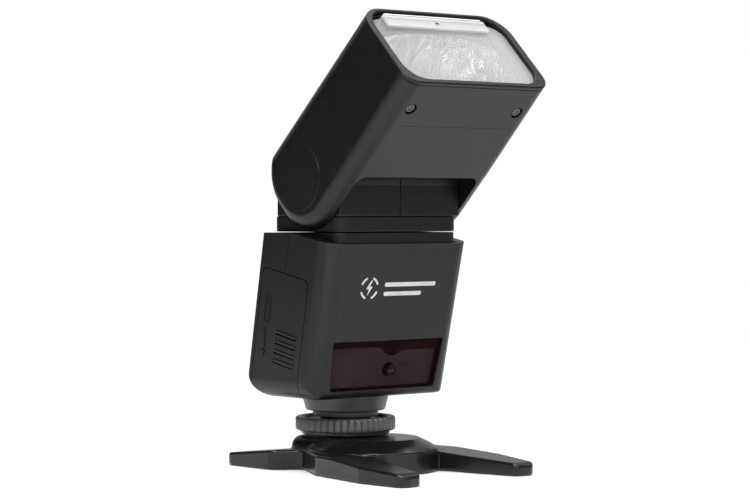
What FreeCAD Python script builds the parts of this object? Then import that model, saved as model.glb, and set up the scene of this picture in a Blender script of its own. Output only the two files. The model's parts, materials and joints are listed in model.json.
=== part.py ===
import FreeCAD, Part
import math
import os
import Sketcher

# A compact two-cell speedlight flash on its mini stand. Millimetres. The origin is on the
# axis of the foot, at the underside of the stand. The flash faces -Y, +Z is up and the
# battery door is on the -X side.

Vector = FreeCAD.Vector
doc = FreeCAD.newDocument("speedlight_flash")

# ---------------------------------------------------------------- driving dimensions
DIMENSIONS = {
    "seam": 0.2, "gap": 0.3, "wall": 1.8, "running_fit": 0.05,
    # mini stand
    "leg_height": 6.6, "leg_tip_height": 4.2, "leg_reach_front": 62.5, "leg_reach_rear": 31.0,
    "hub_radius": 22.0, "hub_y": -14.3, "hub_top_radius": 15.5, "hub_wall": 7.2, "stand_top": 10.7,
    "block_half": 16.9, "block_rear": 12.5, "slot_floor": 6.5, "slot_roof": 8.8, "slot_half": 9.4,
    "slot_mouth": 6.4, "slot_front": -9.6, "insert_radius": 5.0, "insert_height": 4.9,
    "tripod_minor": 5.1,
    # accessory foot
    "foot_half": 9.3, "foot_length": 9.2, "foot_bottom": 6.6, "foot_top": 8.6, "post_half": 6.1,
    "post_length": 8.0, "core_bottom": 10.95, "core_radius": 8.5, "collar_bottom": 17.3,
    "collar_radius": 11.1, "cone_bottom": 19.2, "cone_low_radius": 13.4, "cone_top_radius": 14.8,
    "pin_y": -6.5, "pin_radius": 1.1, "pin_low": 5.2, "pin_top": 14.0,
    "wheel_radius": 16.93, "wheel_low": 12.5, "wheel_top": 17.0, "wheel_bottom": 11.0,
    "wheel_lip": 15.0, "wheel_recess_radius": 14.6, "wheel_recess_floor": 15.7, "wheel_ridges": 44,
    # body case
    "case_bottom": 24.4, "case_top": 79.1, "case_front_top": 75.5, "case_half_top": 31.0,
    "case_half_bottom": 30.2, "front_lean": 12.1, "rear_lean": 11.0, "front_level": 43.3,
    "front_y": -22.5, "rear_level": 34.0, "rear_y": 14.7, "seam_depth": 21.7,
    "front_corner": 6.5, "rear_corner": 1.2, "bottom_front_round": 3.0, "bottom_rear_round": 9.0,
    "bottom_side_round": 6.0,
    # red window at the front
    "window_half_top": 24.0, "window_half_bottom": 22.7, "window_height": 16.6, "window_recess": 0.35,
    "sensor_x": 3.6, "sensor_drop": 10.7, "sensor_radius": 1.9,
    # battery door and cells
    "door_top": 34.9, "door_depth_front": 26.2, "door_depth_rear": 2.5, "door_corner": 2.5,
    "door_pivot_x": -24.2, "door_pivot_z": 25.6, "knuckle_radius": 0.88, "door_pin_radius": 0.45,
    "knuckle_front": -9.4, "knuckle_rear": 5.6, "cell_radius": 7.2, "cell_length": 49.5,
    "cell_depth": 13.0, "cell_low": 6.2, "cell_pitch": 15.2, "cell_start": -23.1,
    # rear panel
    "display_half": 17.0, "display_low": 22.9, "display_high": 39.7, "dial_level": 8.6,
    "dial_radius": 8.2, "dial_bore": 4.1, "dial_height": 1.4, "set_radius": 3.7,
    "key_level": 19.6, "key_pitch": 9.4, "key_half": 3.3, "key_rise": 0.7,
    "side_key_x": 16.2, "side_key_radius": 2.3, "mode_level": 13.0, "lower_level": 3.6,
    # swivel and neck
    "seat_half": 26.4, "seat_front": -28.0, "seat_rear": 4.4, "seat_bottom": 73.8, "seat_top": 79.15,
    "turn_y": -12.5, "stem_radius": 8.0, "hub_bottom": 79.4, "hub_top": 84.5, "hub_half": 26.3,
    "hub_front": -28.3, "hub_rear": 4.7, "hub_corner": 4.5,
    "hinge_y": -13.2, "hinge_z": 97.2, "drum_radius": 15.2, "neck_half": 26.2, "neck_front": -28.2,
    "neck_rear": 4.2, "neck_wall": 2.2, "axle_radius": 6.0,
    # head, drawn upright about the hinge axis and then laid forward
    "head_tilt": 45.0, "head_half": 31.3, "head_under": 17.7, "head_over": 17.3, "head_reach": 58.6,
    "arm_half": 31.9, "arm_over": 18.3, "arm_end": 15.2, "arm_edge": 5.4, "top_corner": 9.5,
    "under_corner": 5.8, "arm_top_corner": 8.0, "arm_under_corner": 4.0, "arm_inner": 26.6,
    "drum_room": 15.7, "cutout_top": 17.5, "cutout_corner": 4.0, "bulkhead": 19.4, "head_wall": 2.0,
    "bezel_depth": 1.5, "window_half": 28.5, "window_under": 15.7, "window_over": 15.9,
    "window_corner": 7.5, "cap_radius": 11.3, "cap_depth": 1.6,
    "panel_half": 22.0, "panel_low": 13.85, "panel_thick": 0.65, "lip_low": 9.6, "card_low": 14.72,
    "card_thick": 0.4, "plate_back": 21.0,
    "reflector_half": 25.5, "reflector_tall": 11.2, "reflector_front": 52.5, "reflector_depth": 19.0,
    "tube_radius": 2.0, "screw_x": 17.0, "screw_level": -12.8, "screw_radius": 0.9,
}

sheet = doc.addObject("Spreadsheet::Sheet", "Dim")
for row, (alias, number) in enumerate(DIMENSIONS.items(), start=1):
    sheet.set("A%d" % row, alias)
    sheet.set("B%d" % row, str(number))
    sheet.setAlias("B%d" % row, alias)
doc.recompute()


class Size:
    """A number together with the spreadsheet formula that gives it."""

    def __init__(self, value, formula):
        self.value = value
        self.formula = formula

    def __add__(self, other):
        other = sized(other)
        return Size(self.value + other.value, "(%s + %s)" % (self.formula, other.formula))

    def __sub__(self, other):
        other = sized(other)
        return Size(self.value - other.value, "(%s - %s)" % (self.formula, other.formula))

    def __mul__(self, other):
        other = sized(other)
        return Size(self.value * other.value, "(%s * %s)" % (self.formula, other.formula))

    def __truediv__(self, other):
        other = sized(other)
        return Size(self.value / other.value, "(%s / %s)" % (self.formula, other.formula))

    def __neg__(self):
        return Size(-self.value, "(0 - %s)" % self.formula)

    def __radd__(self, other):
        return sized(other) + self

    def __rsub__(self, other):
        return sized(other) - self


def sized(number):
    """Any number as a Size."""
    if isinstance(number, Size):
        return number
    return Size(float(number), "(%s)" % repr(float(number)))


def slope(lean):
    """Run over rise of a face that leans by an angle in degrees."""
    return Size(math.tan(math.radians(lean.value)), "tan(%s)" % lean.formula)


class Dimensions:
    """The driving dimensions by name."""

    def __getattr__(self, name):
        return Size(DIMENSIONS[name], "Dim." + name)


dim = Dimensions()


def bind(target, path, number):
    target.setExpression(path, sized(number).formula)


# ---------------------------------------------------------------- sketches
def rectangle(left, right, low, high, corner=0):
    return [(left, low, corner), (right, low, corner), (right, high, corner), (left, high, corner)]


def mirrored(half):
    """A closed outline from its right half, listed from low to high."""
    left = [(-sized(x), y, r) for x, y, r in reversed(half) if sized(x).value > 0]
    return list(half) + left


class Circle:
    def __init__(self, x, y, radius):
        self.x, self.y, self.radius = sized(x), sized(y), sized(radius)


def constrain(sketch, *terms, size=None):
    index = sketch.addConstraint(Sketcher.Constraint(*terms))
    if size is not None:
        sketch.setExpression("Constraints[%d]" % index, size.formula)


def locate(sketch, geometry, position, x, y):
    constrain(sketch, "DistanceX", -1, 1, geometry, position, x.value, size=x)
    constrain(sketch, "DistanceY", -1, 1, geometry, position, y.value, size=y)


def draw_circle(sketch, circle):
    centre = Vector(circle.x.value, circle.y.value, 0)
    index = sketch.addGeometry(Part.Circle(centre, Vector(0, 0, 1), circle.radius.value), False)
    locate(sketch, index, 3, circle.x, circle.y)
    constrain(sketch, "Radius", index, circle.radius.value, size=circle.radius)


def draw_outline(sketch, corners):
    """Lines between the corners, with a tangent arc at each corner that has a radius."""
    count = len(corners)
    points = [(sized(x), sized(y)) for x, y, _ in corners]
    radii = [sized(r) for _, _, r in corners]
    flat = [Vector(x.value, y.value, 0) for x, y in points]
    starts, ends, centres, turns = [], [], [], []
    for i in range(count):
        before = (flat[i - 1] - flat[i]).normalize()
        after = (flat[(i + 1) % count] - flat[i]).normalize()
        half_angle = before.getAngle(after) / 2
        reach = radii[i].value / math.tan(half_angle)
        inward = radii[i].value / math.sin(half_angle)
        ends.append(flat[i] + before * reach)
        starts.append(flat[i] + after * reach)
        centres.append(flat[i] + (before + after) * (inward / max((before + after).Length, 1e-9)))
        turns.append(before.cross(after).z)
    lines = []
    for i in range(count):
        lines.append(sketch.addGeometry(Part.LineSegment(starts[i], ends[(i + 1) % count]), False))
    for i in range(count):
        incoming, outgoing = lines[i - 1], lines[i]
        x, y = points[i]
        if radii[i].value == 0:
            constrain(sketch, "Coincident", incoming, 2, outgoing, 1)
            locate(sketch, outgoing, 1, x, y)
            continue
        circle = Part.Circle(centres[i], Vector(0, 0, 1), radii[i].value)
        first, last = (ends[i], starts[i]) if turns[i] < 0 else (starts[i], ends[i])
        arc_shape = Part.ArcOfCircle(circle, circle.parameter(first), circle.parameter(last))
        arc = sketch.addGeometry(arc_shape, False)
        near, far = (1, 2) if turns[i] < 0 else (2, 1)
        constrain(sketch, "Tangent", incoming, 2, arc, near)
        constrain(sketch, "Tangent", outgoing, 1, arc, far)
        constrain(sketch, "Radius", arc, radii[i].value, size=radii[i])
        corner = sketch.addGeometry(Part.Point(flat[i]), True)
        constrain(sketch, "PointOnObject", corner, 1, incoming)
        constrain(sketch, "PointOnObject", corner, 1, outgoing)
        locate(sketch, corner, 1, x, y)


# Each origin plane with the sign of its normal along the axis that it faces.
PLANES = {"XY": ("XY_Plane", 1), "XZ": ("XZ_Plane", -1), "YZ": ("YZ_Plane", 1)}


class Piece:
    """One PartDesign body, built by adding and cutting extruded or turned sketches."""

    def __init__(self, name):
        self.body = doc.addObject("PartDesign::Body", name)
        self.body.Label = name
        self.count = 0

    def sketch(self, plane, offset, outlines):
        self.count += 1
        sketch = self.body.newObject("Sketcher::SketchObject", "%s_sketch" % self.body.Name)
        role = PLANES[plane][0]
        support = [item for item in self.body.Origin.OriginFeatures if item.Role == role][0]
        sketch.AttachmentSupport = [(support, "")]
        sketch.MapMode = "FlatFace"
        bind(sketch, "AttachmentOffset.Base.z", offset)
        for outline in outlines:
            if isinstance(outline, Circle):
                draw_circle(sketch, outline)
            else:
                draw_outline(sketch, outline)
        return sketch

    def pad(self, plane, low, high, *outlines):
        low, high = sized(low), sized(high)
        offset = low if PLANES[plane][1] > 0 else -high
        pad = self.body.newObject("PartDesign::Pad", "%s_pad" % self.body.Name)
        pad.Profile = self.sketch(plane, offset, outlines)
        bind(pad, "Length", high - low)
        self.body.Tip = pad
        doc.recompute()
        return self

    def pocket(self, plane, low, high, *outlines):
        low, high = sized(low), sized(high)
        offset = high if PLANES[plane][1] > 0 else -low
        before = self.body.Shape.Volume
        pocket = self.body.newObject("PartDesign::Pocket", "%s_pocket" % self.body.Name)
        pocket.Profile = self.sketch(plane, offset, outlines)
        bind(pocket, "Length", high - low)
        self.body.Tip = pocket
        doc.recompute()
        if not self.body.Shape.Volume < before:
            raise RuntimeError("a pocket of %s removes nothing" % self.body.Label)
        return self

    def turn(self, outline, kind="PartDesign::Revolution"):
        """A full turn about Z of an outline in the XZ plane."""
        feature = self.body.newObject(kind, "%s_turn" % self.body.Name)
        feature.Profile = self.sketch("XZ", 0, [outline])
        feature.ReferenceAxis = (feature.Profile[0], ["V_Axis"])
        feature.Angle = 360.0
        self.body.Tip = feature
        doc.recompute()
        return self

    def repeat_around(self, count):
        """The last feature, repeated evenly about Z."""
        pattern = self.body.newObject("PartDesign::PolarPattern", "%s_pattern" % self.body.Name)
        source = self.body.Tip
        pattern.Originals = [source]
        pattern.Axis = (source.Profile[0], ["N_Axis"])
        pattern.Angle = 360.0
        bind(pattern, "Occurrences", count)
        self.body.Tip = pattern
        doc.recompute()
        return self

    def dress(self, kind, radius, chosen):
        """A fillet or chamfer on the edges whose middle the test accepts."""
        base = self.body.Tip
        names = []
        for index, edge in enumerate(base.Shape.Edges, start=1):
            if chosen(edge, edge.valueAt((edge.FirstParameter + edge.LastParameter) / 2)):
                names.append("Edge%d" % index)
        if not names:
            raise RuntimeError("no edge of %s is chosen" % self.body.Label)
        feature = self.body.newObject(kind, "%s_edge" % self.body.Name)
        feature.Base = (base, names)
        bind(feature, "Radius" if kind.endswith("Fillet") else "Size", radius)
        self.body.Tip = feature
        doc.recompute()
        if "Invalid" in feature.State or not feature.Shape.isValid():
            raise RuntimeError("an edge of %s cannot be dressed" % self.body.Label)
        return self

    def fillet(self, radius, chosen):
        return self.dress("PartDesign::Fillet", radius, chosen)

    def chamfer(self, size, chosen):
        return self.dress("PartDesign::Chamfer", size, chosen)


# ---------------------------------------------------------------- primitives and booleans
NODES = []


def node(item, frame=None):
    """Keep an object as a sub-part of the model, laid in its frame."""
    item = item.body if isinstance(item, Piece) else item
    if frame is not None:
        item = lay(item, frame)
    NODES.append(item)
    return item


def source(item):
    return item.body if isinstance(item, Piece) else item


def named(kind, name):
    item = doc.addObject(kind, name)
    item.Label = name
    return item


def block(name, x, y, z):
    item = named("Part::Box", name)
    for side, axis, (low, high) in (("Length", "x", x), ("Width", "y", y), ("Height", "z", z)):
        bind(item, side, sized(high) - sized(low))
        bind(item, "Placement.Base." + axis, low)
    return item


def rod(name, axis, radius, centre, low, high):
    """A cylinder along an axis; centre gives its other two coordinates in X, Y, Z order."""
    item = named("Part::Cylinder", name)
    bind(item, "Radius", radius)
    bind(item, "Height", sized(high) - sized(low))
    spot = list(centre)
    spot.insert("XYZ".index(axis), low)
    turns = {"X": (Vector(0, 1, 0), 90), "Y": (Vector(1, 0, 0), -90), "Z": (Vector(0, 0, 1), 0)}
    item.Placement.Rotation = FreeCAD.Rotation(*turns[axis])
    for letter, number in zip("xyz", spot):
        bind(item, "Placement.Base." + letter, number)
    return item


def fuse(name, *items):
    item = named("Part::MultiFuse", name)
    item.Shapes = [source(part) for part in items]
    item.Refine = True
    return item


def common(name, *items):
    item = named("Part::MultiCommon", name)
    item.Shapes = [source(part) for part in items]
    return item


def cut(name, base, *tools):
    item = named("Part::Cut", name)
    item.Base = source(base)
    item.Tool = source(tools[0]) if len(tools) == 1 else fuse(name + "_tools", *tools)
    return item


def group(name, *items):
    item = named("Part::Compound", name)
    item.Links = [source(part) for part in items]
    return item


def ruled_loft(name, sections):
    item = named("Part::Loft", name)
    item.Sections = sections
    item.Solid = True
    item.Ruled = True
    return item


def lay(item, frame):
    """Turn an object that is drawn upright about X and move it to its frame's place."""
    lean, y, z = frame
    item = source(item)
    if item.TypeId in ("Part::Box", "Part::Cylinder"):
        label = item.Label
        item.Label = label + "_shape"
        item = group(label, item)
    item.Placement.Rotation = FreeCAD.Rotation(Vector(1, 0, 0), lean.value)
    bind(item, "Placement.Rotation.Angle", lean)
    bind(item, "Placement.Base.y", y)
    bind(item, "Placement.Base.z", z)
    return item


FRONT = (dim.front_lean, dim.front_y, dim.front_level)
REAR = (dim.rear_lean, dim.rear_y, dim.rear_level)
HEAD = (dim.head_tilt, dim.hinge_y, dim.hinge_z)


def front_face(level):
    return dim.front_y - (sized(level) - dim.front_level) * slope(dim.front_lean)


def rear_face(level):
    return dim.rear_y - (sized(level) - dim.rear_level) * slope(dim.rear_lean)


def case_half(level):
    rise = (sized(level) - dim.case_bottom) / (dim.case_top - dim.case_bottom)
    return dim.case_half_bottom + (dim.case_half_top - dim.case_half_bottom) * rise


# ---------------------------------------------------------------- mini stand
def stand_base():
    """Four low legs round a domed hub, with an open-ended slot for the foot."""
    legs = Piece("stand_legs")
    front, rear = -dim.leg_reach_front, dim.leg_reach_rear
    legs.pad("XY", 0, dim.leg_height, mirrored([
        (0, -30.5, 0), (13.5, -30.5, 3), (20.8, front + 1, 2.5), (29.4, front, 3.5), (31, -43, 0),
        (26.8, -16.5, 4), (18.5, 0.3, 3), (27.3, 6.2, 3.5), (28.5, rear - 1.5, 3.5),
        (20.5, rear, 2.5), (13.5, 10, 4), (0, 10, 0)]))
    falling = [(front - 3, 1.6, 0), (front + 2.5, dim.leg_tip_height, 2), (-26, dim.leg_height, 0),
               (-26, 12, 0), (front - 3, 12, 0)]
    rising = [(rear + 3, 1.6, 0), (rear - 2.5, dim.leg_tip_height, 2), (6, dim.leg_height, 0),
              (6, 12, 0), (rear + 3, 12, 0)]
    legs.pocket("YZ", -40, 40, falling)
    legs.pocket("YZ", -40, 40, rising)

    hub = Piece("stand_hub")
    hub.turn([(0, 0, 0), (dim.hub_radius, 0, 0), (dim.hub_radius, dim.hub_wall, 0.8),
              (dim.hub_radius - 2.5, dim.hub_wall + 1.5, 0), (dim.hub_top_radius, dim.stand_top, 0),
              (0, dim.stand_top, 0)])
    bind(hub.body, "Placement.Base.y", dim.hub_y)
    seat = Piece("stand_block")
    seat.pad("XY", 0, dim.stand_top, rectangle(-dim.block_half, dim.block_half, -16, dim.block_rear, 7))
    seat.fillet(3.6, lambda edge, middle: middle.z > dim.stand_top.value - 0.01)
    solid = fuse("stand_solid", legs, hub, seat)
    rear_end = 40
    room = block("slot_room", (-dim.slot_half, dim.slot_half), (dim.slot_front, rear_end),
                 (dim.slot_floor, dim.slot_roof))
    mouth = block("slot_throat", (-dim.slot_mouth, dim.slot_mouth), (dim.slot_front, rear_end),
                  (dim.slot_roof, 20))
    groove = block("pin_groove", (-1.5, 1.5), (dim.pin_y - 1.5, rear_end), (dim.pin_low - 0.1, 7))
    bore = rod("insert_bore", "Z", dim.insert_radius, (0, 0), -1, dim.insert_height)
    under = block("under_hollow", (-12, 12), (-31, -12), (-1, 4.5))
    return node(cut("stand_base", solid, room, mouth, groove, bore, under))


def stand_insert():
    """The brass tripod nut pressed into the underside of the hub."""
    nut = Piece("thread_insert")
    nut.pad("XY", 0, dim.insert_height, Circle(0, 0, dim.insert_radius),
            Circle(0, 0, dim.tripod_minor / 2))
    return node(nut)


# ---------------------------------------------------------------- accessory foot and lock
def foot():
    """The metal foot, its contact plate and the plastic cone that carries it."""
    plate = Piece("foot_shape")
    plate.pad("XY", dim.foot_bottom, dim.foot_top,
              rectangle(-dim.foot_half, dim.foot_half, -dim.foot_length, dim.foot_length, 0.8))
    plate.pad("XY", dim.foot_top, dim.core_bottom,
              rectangle(-dim.post_half, dim.post_half, -dim.post_length, dim.post_length, 0.8))
    plate.pocket("XY", dim.foot_bottom, dim.foot_bottom + 1.2, rectangle(-3.8, 3.8, -2.4, 4.7, 1))
    drilled = [Circle(0, dim.pin_y, dim.pin_radius + dim.running_fit)]
    drilled += [Circle(x, y, 0.85) for x, y in FOOT_SCREWS]
    plate.pocket("XY", dim.foot_bottom, dim.core_bottom, *drilled)
    plate.pocket("XY", dim.foot_bottom, dim.foot_bottom + 1, *[Circle(x, y, 1.65) for x, y in FOOT_SCREWS])
    plate.body.Label = "shoe_foot"
    node(plate)

    pads = Piece("contact_plate")
    pads.pad("XY", dim.foot_bottom, dim.foot_bottom + 1.15, rectangle(-3.7, 3.7, -2.3, 4.6, 1))
    pads.pocket("XY", dim.foot_bottom, dim.foot_bottom + 1.15, *[Circle(*spot) for spot in CONTACTS])
    node(pads)
    node(group("shoe_contacts", *[
        rod("contact", "Z", radius - 0.02, (x, y), dim.foot_bottom - 0.02, dim.foot_bottom + 1.15)
        for x, y, radius in CONTACTS]))

    neck = Piece("foot_neck")
    neck.turn([(0, dim.core_bottom, 0), (dim.core_radius, dim.core_bottom, 0),
               (dim.core_radius, dim.collar_bottom, 0), (dim.collar_radius, dim.collar_bottom, 0),
               (dim.collar_radius, dim.cone_bottom, 0.6), (dim.cone_low_radius, dim.cone_bottom, 0.5),
               (dim.cone_top_radius, dim.case_bottom, 0), (0, dim.case_bottom, 0)])
    neck.pocket("XY", dim.core_bottom, dim.pin_top + 3, Circle(0, dim.pin_y, dim.pin_radius + dim.running_fit))
    neck.pocket("XY", dim.core_bottom, dim.core_bottom + 5, *[Circle(x, y, 0.85) for x, y in FOOT_SCREWS])
    neck.pocket("XY", dim.core_bottom, dim.case_bottom, Circle(0, 1.5, 2.6))
    neck.pocket("XY", dim.case_bottom - 3.6, dim.case_bottom, *[Circle(x, y, 1.05) for x, y in CASE_SCREWS])
    node(neck)

    screws = []
    for x, y in FOOT_SCREWS:
        head = rod("foot_screw_head", "Z", 1.6, (x, y), dim.foot_bottom + 0.1, dim.foot_bottom + 1)
        shank = rod("foot_screw_shank", "Z", 0.8, (x, y), dim.foot_bottom + 1, dim.core_bottom + 4.5)
        screws.append(fuse("foot_screw", head, shank))
    node(group("foot_screws", *screws))


FOOT_SCREWS = [(x, y) for x in (-4.6, 4.6) for y in (-5.2, 5.9)]
CASE_SCREWS = [(-6.5, -10.5), (6.5, -10.5), (-9.5, 3.7), (9.5, 3.7)]
CONTACTS = [(0, 0, 1.1), (-2.3, 0.4, 0.7), (2.3, 0.4, 0.7), (-1.4, 3.4, 0.7), (1.4, 3.4, 0.7)]


def lock():
    """The knurled lock wheel, and the pin that it drives down into the slot."""
    wheel = Piece("lock_wheel")
    bore = dim.core_radius + dim.running_fit
    wheel.turn([(bore, dim.wheel_bottom, 0), (dim.wheel_lip - 0.6, dim.wheel_bottom, 0),
                (dim.wheel_lip, dim.wheel_low - 0.4, 0), (dim.wheel_radius - 0.5, dim.wheel_low, 0),
                (dim.wheel_radius, dim.wheel_low + 0.5, 0), (dim.wheel_radius, dim.wheel_top - 0.5, 0),
                (dim.wheel_radius - 0.5, dim.wheel_top, 0), (dim.wheel_recess_radius, dim.wheel_top, 0),
                (dim.wheel_recess_radius, dim.wheel_recess_floor, 0), (bore, dim.wheel_recess_floor, 0)])
    wheel.pocket("XY", dim.wheel_low - 0.2, dim.wheel_top + 0.2,
                 rectangle(-0.62, 0.62, dim.wheel_radius - 0.62, dim.wheel_radius + 1))
    wheel.repeat_around(dim.wheel_ridges)
    node(wheel)
    node(rod("lock_pin", "Z", dim.pin_radius, (0, dim.pin_y), dim.pin_low, dim.pin_top))


# ---------------------------------------------------------------- body case
def envelope(name, inset):
    """The leaning body of the case, every face moved in by inset."""
    low, high = dim.case_bottom, dim.case_top
    sections = []
    for level in (low, high):
        section = doc.addObject("Sketcher::SketchObject", name + "_section")
        bind(section, "Placement.Base.z", level)
        half, front, rear = case_half(level) - inset, front_face(level) + inset, rear_face(level) - inset
        outer, back = dim.front_corner - inset, dim.rear_corner - inset / 2
        draw_outline(section, [(-half, front, outer), (half, front, outer), (half, rear, back),
                               (-half, rear, back)])
        sections.append(section)
    loft = ruled_loft(name + "_loft", sections)

    floor, roof, brow = low + inset, high - inset, dim.case_front_top - inset
    seam_y = front_face(high) + dim.seam_depth
    side = Piece(name + "_side")
    side.pad("YZ", -40, 40, [
        (front_face(floor) + inset, floor, dim.bottom_front_round - inset),
        (rear_face(floor) - inset, floor, dim.bottom_rear_round - inset),
        (rear_face(roof) - inset, roof, 0), (seam_y, roof, 0), (front_face(brow) + inset, brow, 0)])
    face = Piece(name + "_face")
    face.pad("XZ", -60, 60, [
        (-(case_half(floor) - inset), floor, dim.bottom_side_round - inset),
        (case_half(floor) - inset, floor, dim.bottom_side_round - inset),
        (case_half(roof) - inset, roof, 0), (-(case_half(roof) - inset), roof, 0)])
    return common(name, loft, side, face)


def rear_box(name, x, depth, rise):
    """A block in the rear panel's own frame: x, depth from the face and rise along it."""
    return lay(block(name, x, depth, rise), REAR)


def door_outline(clear):
    """The battery door's side outline in the rear panel's frame, moved out by clear."""
    return [(-dim.door_depth_front - clear, -14, 0), (-dim.door_depth_rear + clear, -14, 0),
            (-dim.door_depth_rear + clear, dim.door_top + clear, dim.door_corner),
            (-dim.door_depth_front - clear, dim.door_top + clear, dim.door_corner)]


def window_outline(clear):
    low = -dim.window_height - clear
    return [(-dim.window_half_bottom - clear, low, 1.5), (dim.window_half_bottom + clear, low, 1.5),
            (dim.window_half_top + clear, clear, 0.6), (-dim.window_half_top - clear, clear, 0.6)]


def prism(name, plane, low, high, *outlines, frame=None):
    piece = Piece(name)
    piece.pad(plane, low, high, *outlines)
    if frame is not None:
        lay(piece, frame)
    return piece


def panel_outlines(clear):
    """Openings of the rear panel: display, keys, dial, round keys and switch slot."""
    display = rectangle(-dim.display_half - clear, dim.display_half + clear,
                        dim.display_low - clear, dim.display_high + clear, 1.5)
    keys = [rectangle(x - dim.key_half - clear, x + dim.key_half + clear,
                      dim.key_level - 1.3 - clear, dim.key_level + 1.3 + clear, 1.2) for x in key_places()]
    rounds = [Circle(x, rise, radius + clear) for _, x, rise, radius in ROUND_KEYS]
    dial = Circle(0, dim.dial_level, dim.dial_radius + clear)
    switch = rectangle(-dim.side_key_x - 4.4, -dim.side_key_x + 4.4,
                       dim.lower_level - 1.7, dim.lower_level + 1.7, 1.5)
    return [display, dial, switch] + keys + rounds


def key_places():
    return [dim.key_pitch * step for step in (-1.5, -0.5, 0.5, 1.5)]


ROUND_KEYS = [
    ("mode_button", -dim.side_key_x, dim.mode_level, dim.side_key_radius),
    ("slave_button", dim.side_key_x, dim.mode_level, dim.side_key_radius),
    ("test_button", dim.side_key_x, dim.lower_level, dim.side_key_radius + 0.4),
]
USB_LEVEL, USB_HALF, USB_FRONT, USB_REAR = 33.5, 5.0, -10.6, -3.6
USB_BEAD, USB_HINGE_X = 0.5, 30.25


def usb_outline(clear):
    return rectangle(USB_FRONT - clear, USB_REAR + clear, USB_LEVEL - USB_HALF - clear,
                     USB_LEVEL + USB_HALF + clear, 0.8)


def case():
    """Front and rear shells, the battery door in the -X wall and the cover in the +X wall."""
    shell = cut("case_shell", envelope("case_outer", sized(0)), envelope("case_inner", dim.wall))
    top = dim.case_top + 5
    seam_low = front_face(15) + dim.seam_depth
    seam_high = front_face(top) + dim.seam_depth
    half_gap = dim.seam / 2
    front_half = prism("front_half", "YZ", -40, 40, [
        (-60, 15, 0), (seam_low - half_gap, 15, 0), (seam_high - half_gap, top, 0), (-60, top, 0)])
    rear_half = prism("rear_half", "YZ", -40, 40, [
        (seam_low + half_gap, 15, 0), (40, 15, 0), (40, top, 0), (seam_high + half_gap, top, 0)])

    door_hole = prism("door_hole", "YZ", -40, dim.door_pivot_x + dim.knuckle_radius + dim.gap,
                      door_outline(dim.gap), frame=REAR)
    usb_hole = prism("usb_hole", "YZ", 26, 40, usb_outline(0.15), frame=REAR)
    seat_hole = block("seat_hole", (-dim.seat_half - 0.1, dim.seat_half + 0.1),
                      (dim.seat_front - 0.1, dim.seat_rear + 0.1), (dim.seat_bottom - 1, 90))
    window_hole = prism("window_hole", "XZ", -3, 6, window_outline(0.12), frame=FRONT)
    panel_holes = [prism("panel_hole", "XZ", -8, 3, outline, frame=REAR) for outline in panel_outlines(0.15)]
    tongue_room = [rear_box("tongue_room", (dim.door_pivot_x - 0.9, dim.door_pivot_x + 1.2),
                            (y - 0.3, y + 1.3), (-14, 1)) for y, _ in TONGUES]
    floor_holes = [rod("cable_hole", "Z", 2.6, (0, 1.5), 20, 30)]
    floor_holes += [rod("case_screw_hole", "Z", 1.05, spot, 20, 30) for spot in CASE_SCREWS]
    node(cut("front_shell", common("front_wall", shell, front_half),
             door_hole, seat_hole, window_hole, *(tongue_room + floor_holes)))
    node(cut("rear_shell", common("rear_wall", shell, rear_half),
             door_hole, usb_hole, seat_hole, *(panel_holes + tongue_room + floor_holes)))

    door_block = prism("door_block", "YZ", -40, dim.door_pivot_x, door_outline(sized(0)), frame=REAR)
    knuckle = rod("door_knuckle", "Y", dim.knuckle_radius, (dim.door_pivot_x, dim.door_pivot_z),
                  dim.knuckle_front, dim.knuckle_rear)
    pin_bore = rod("door_bore", "Y", dim.door_pin_radius + dim.running_fit,
                   (dim.door_pivot_x, dim.door_pivot_z), -20, 20)
    grips = [rear_box("door_rib", (-31, -29.95), (-23.3, -12.7), (rise, rise + 0.8))
             for rise in (4.6, 7.8, 11.0, 14.2)]
    door_wall = fuse("door_wall", common("door_skin", shell, door_block), knuckle)
    node(cut("battery_door", door_wall, pin_bore, *(grips + tongue_room)))

    pin = rod("slider_pin", "Y", dim.door_pin_radius, (dim.door_pivot_x, dim.door_pivot_z),
              dim.knuckle_front - 1.2, dim.knuckle_rear + 1.6)
    tongues = [rear_box("slider_tongue", (dim.door_pivot_x - 0.45, dim.door_pivot_x + 0.45),
                        (y, y + 1), (foot_rise, 10)) for y, foot_rise in TONGUES]
    node(fuse("door_slider", pin, *tongues))
    cover = prism("usb_block", "YZ", 26, 40, usb_outline(sized(0)), frame=REAR)
    hinge_side = rear_box("usb_hinge_side", (26, 40), (USB_FRONT - 1, USB_FRONT + USB_BEAD), (20, 50))
    bead = lay(rod("usb_bead", "Z", USB_BEAD, (USB_HINGE_X, USB_FRONT + USB_BEAD),
                   USB_LEVEL - USB_HALF + 0.8, USB_LEVEL + USB_HALF - 0.8), REAR)
    node(fuse("usb_cover", cut("usb_flap", common("usb_wall", shell, cover), hinge_side), bead))
    return shell


# Depth from the rear panel and lower end of each tongue that the door's pin hangs from.
TONGUES = ((-24.4, -4.5), (-6.8, -7.6))


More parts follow.
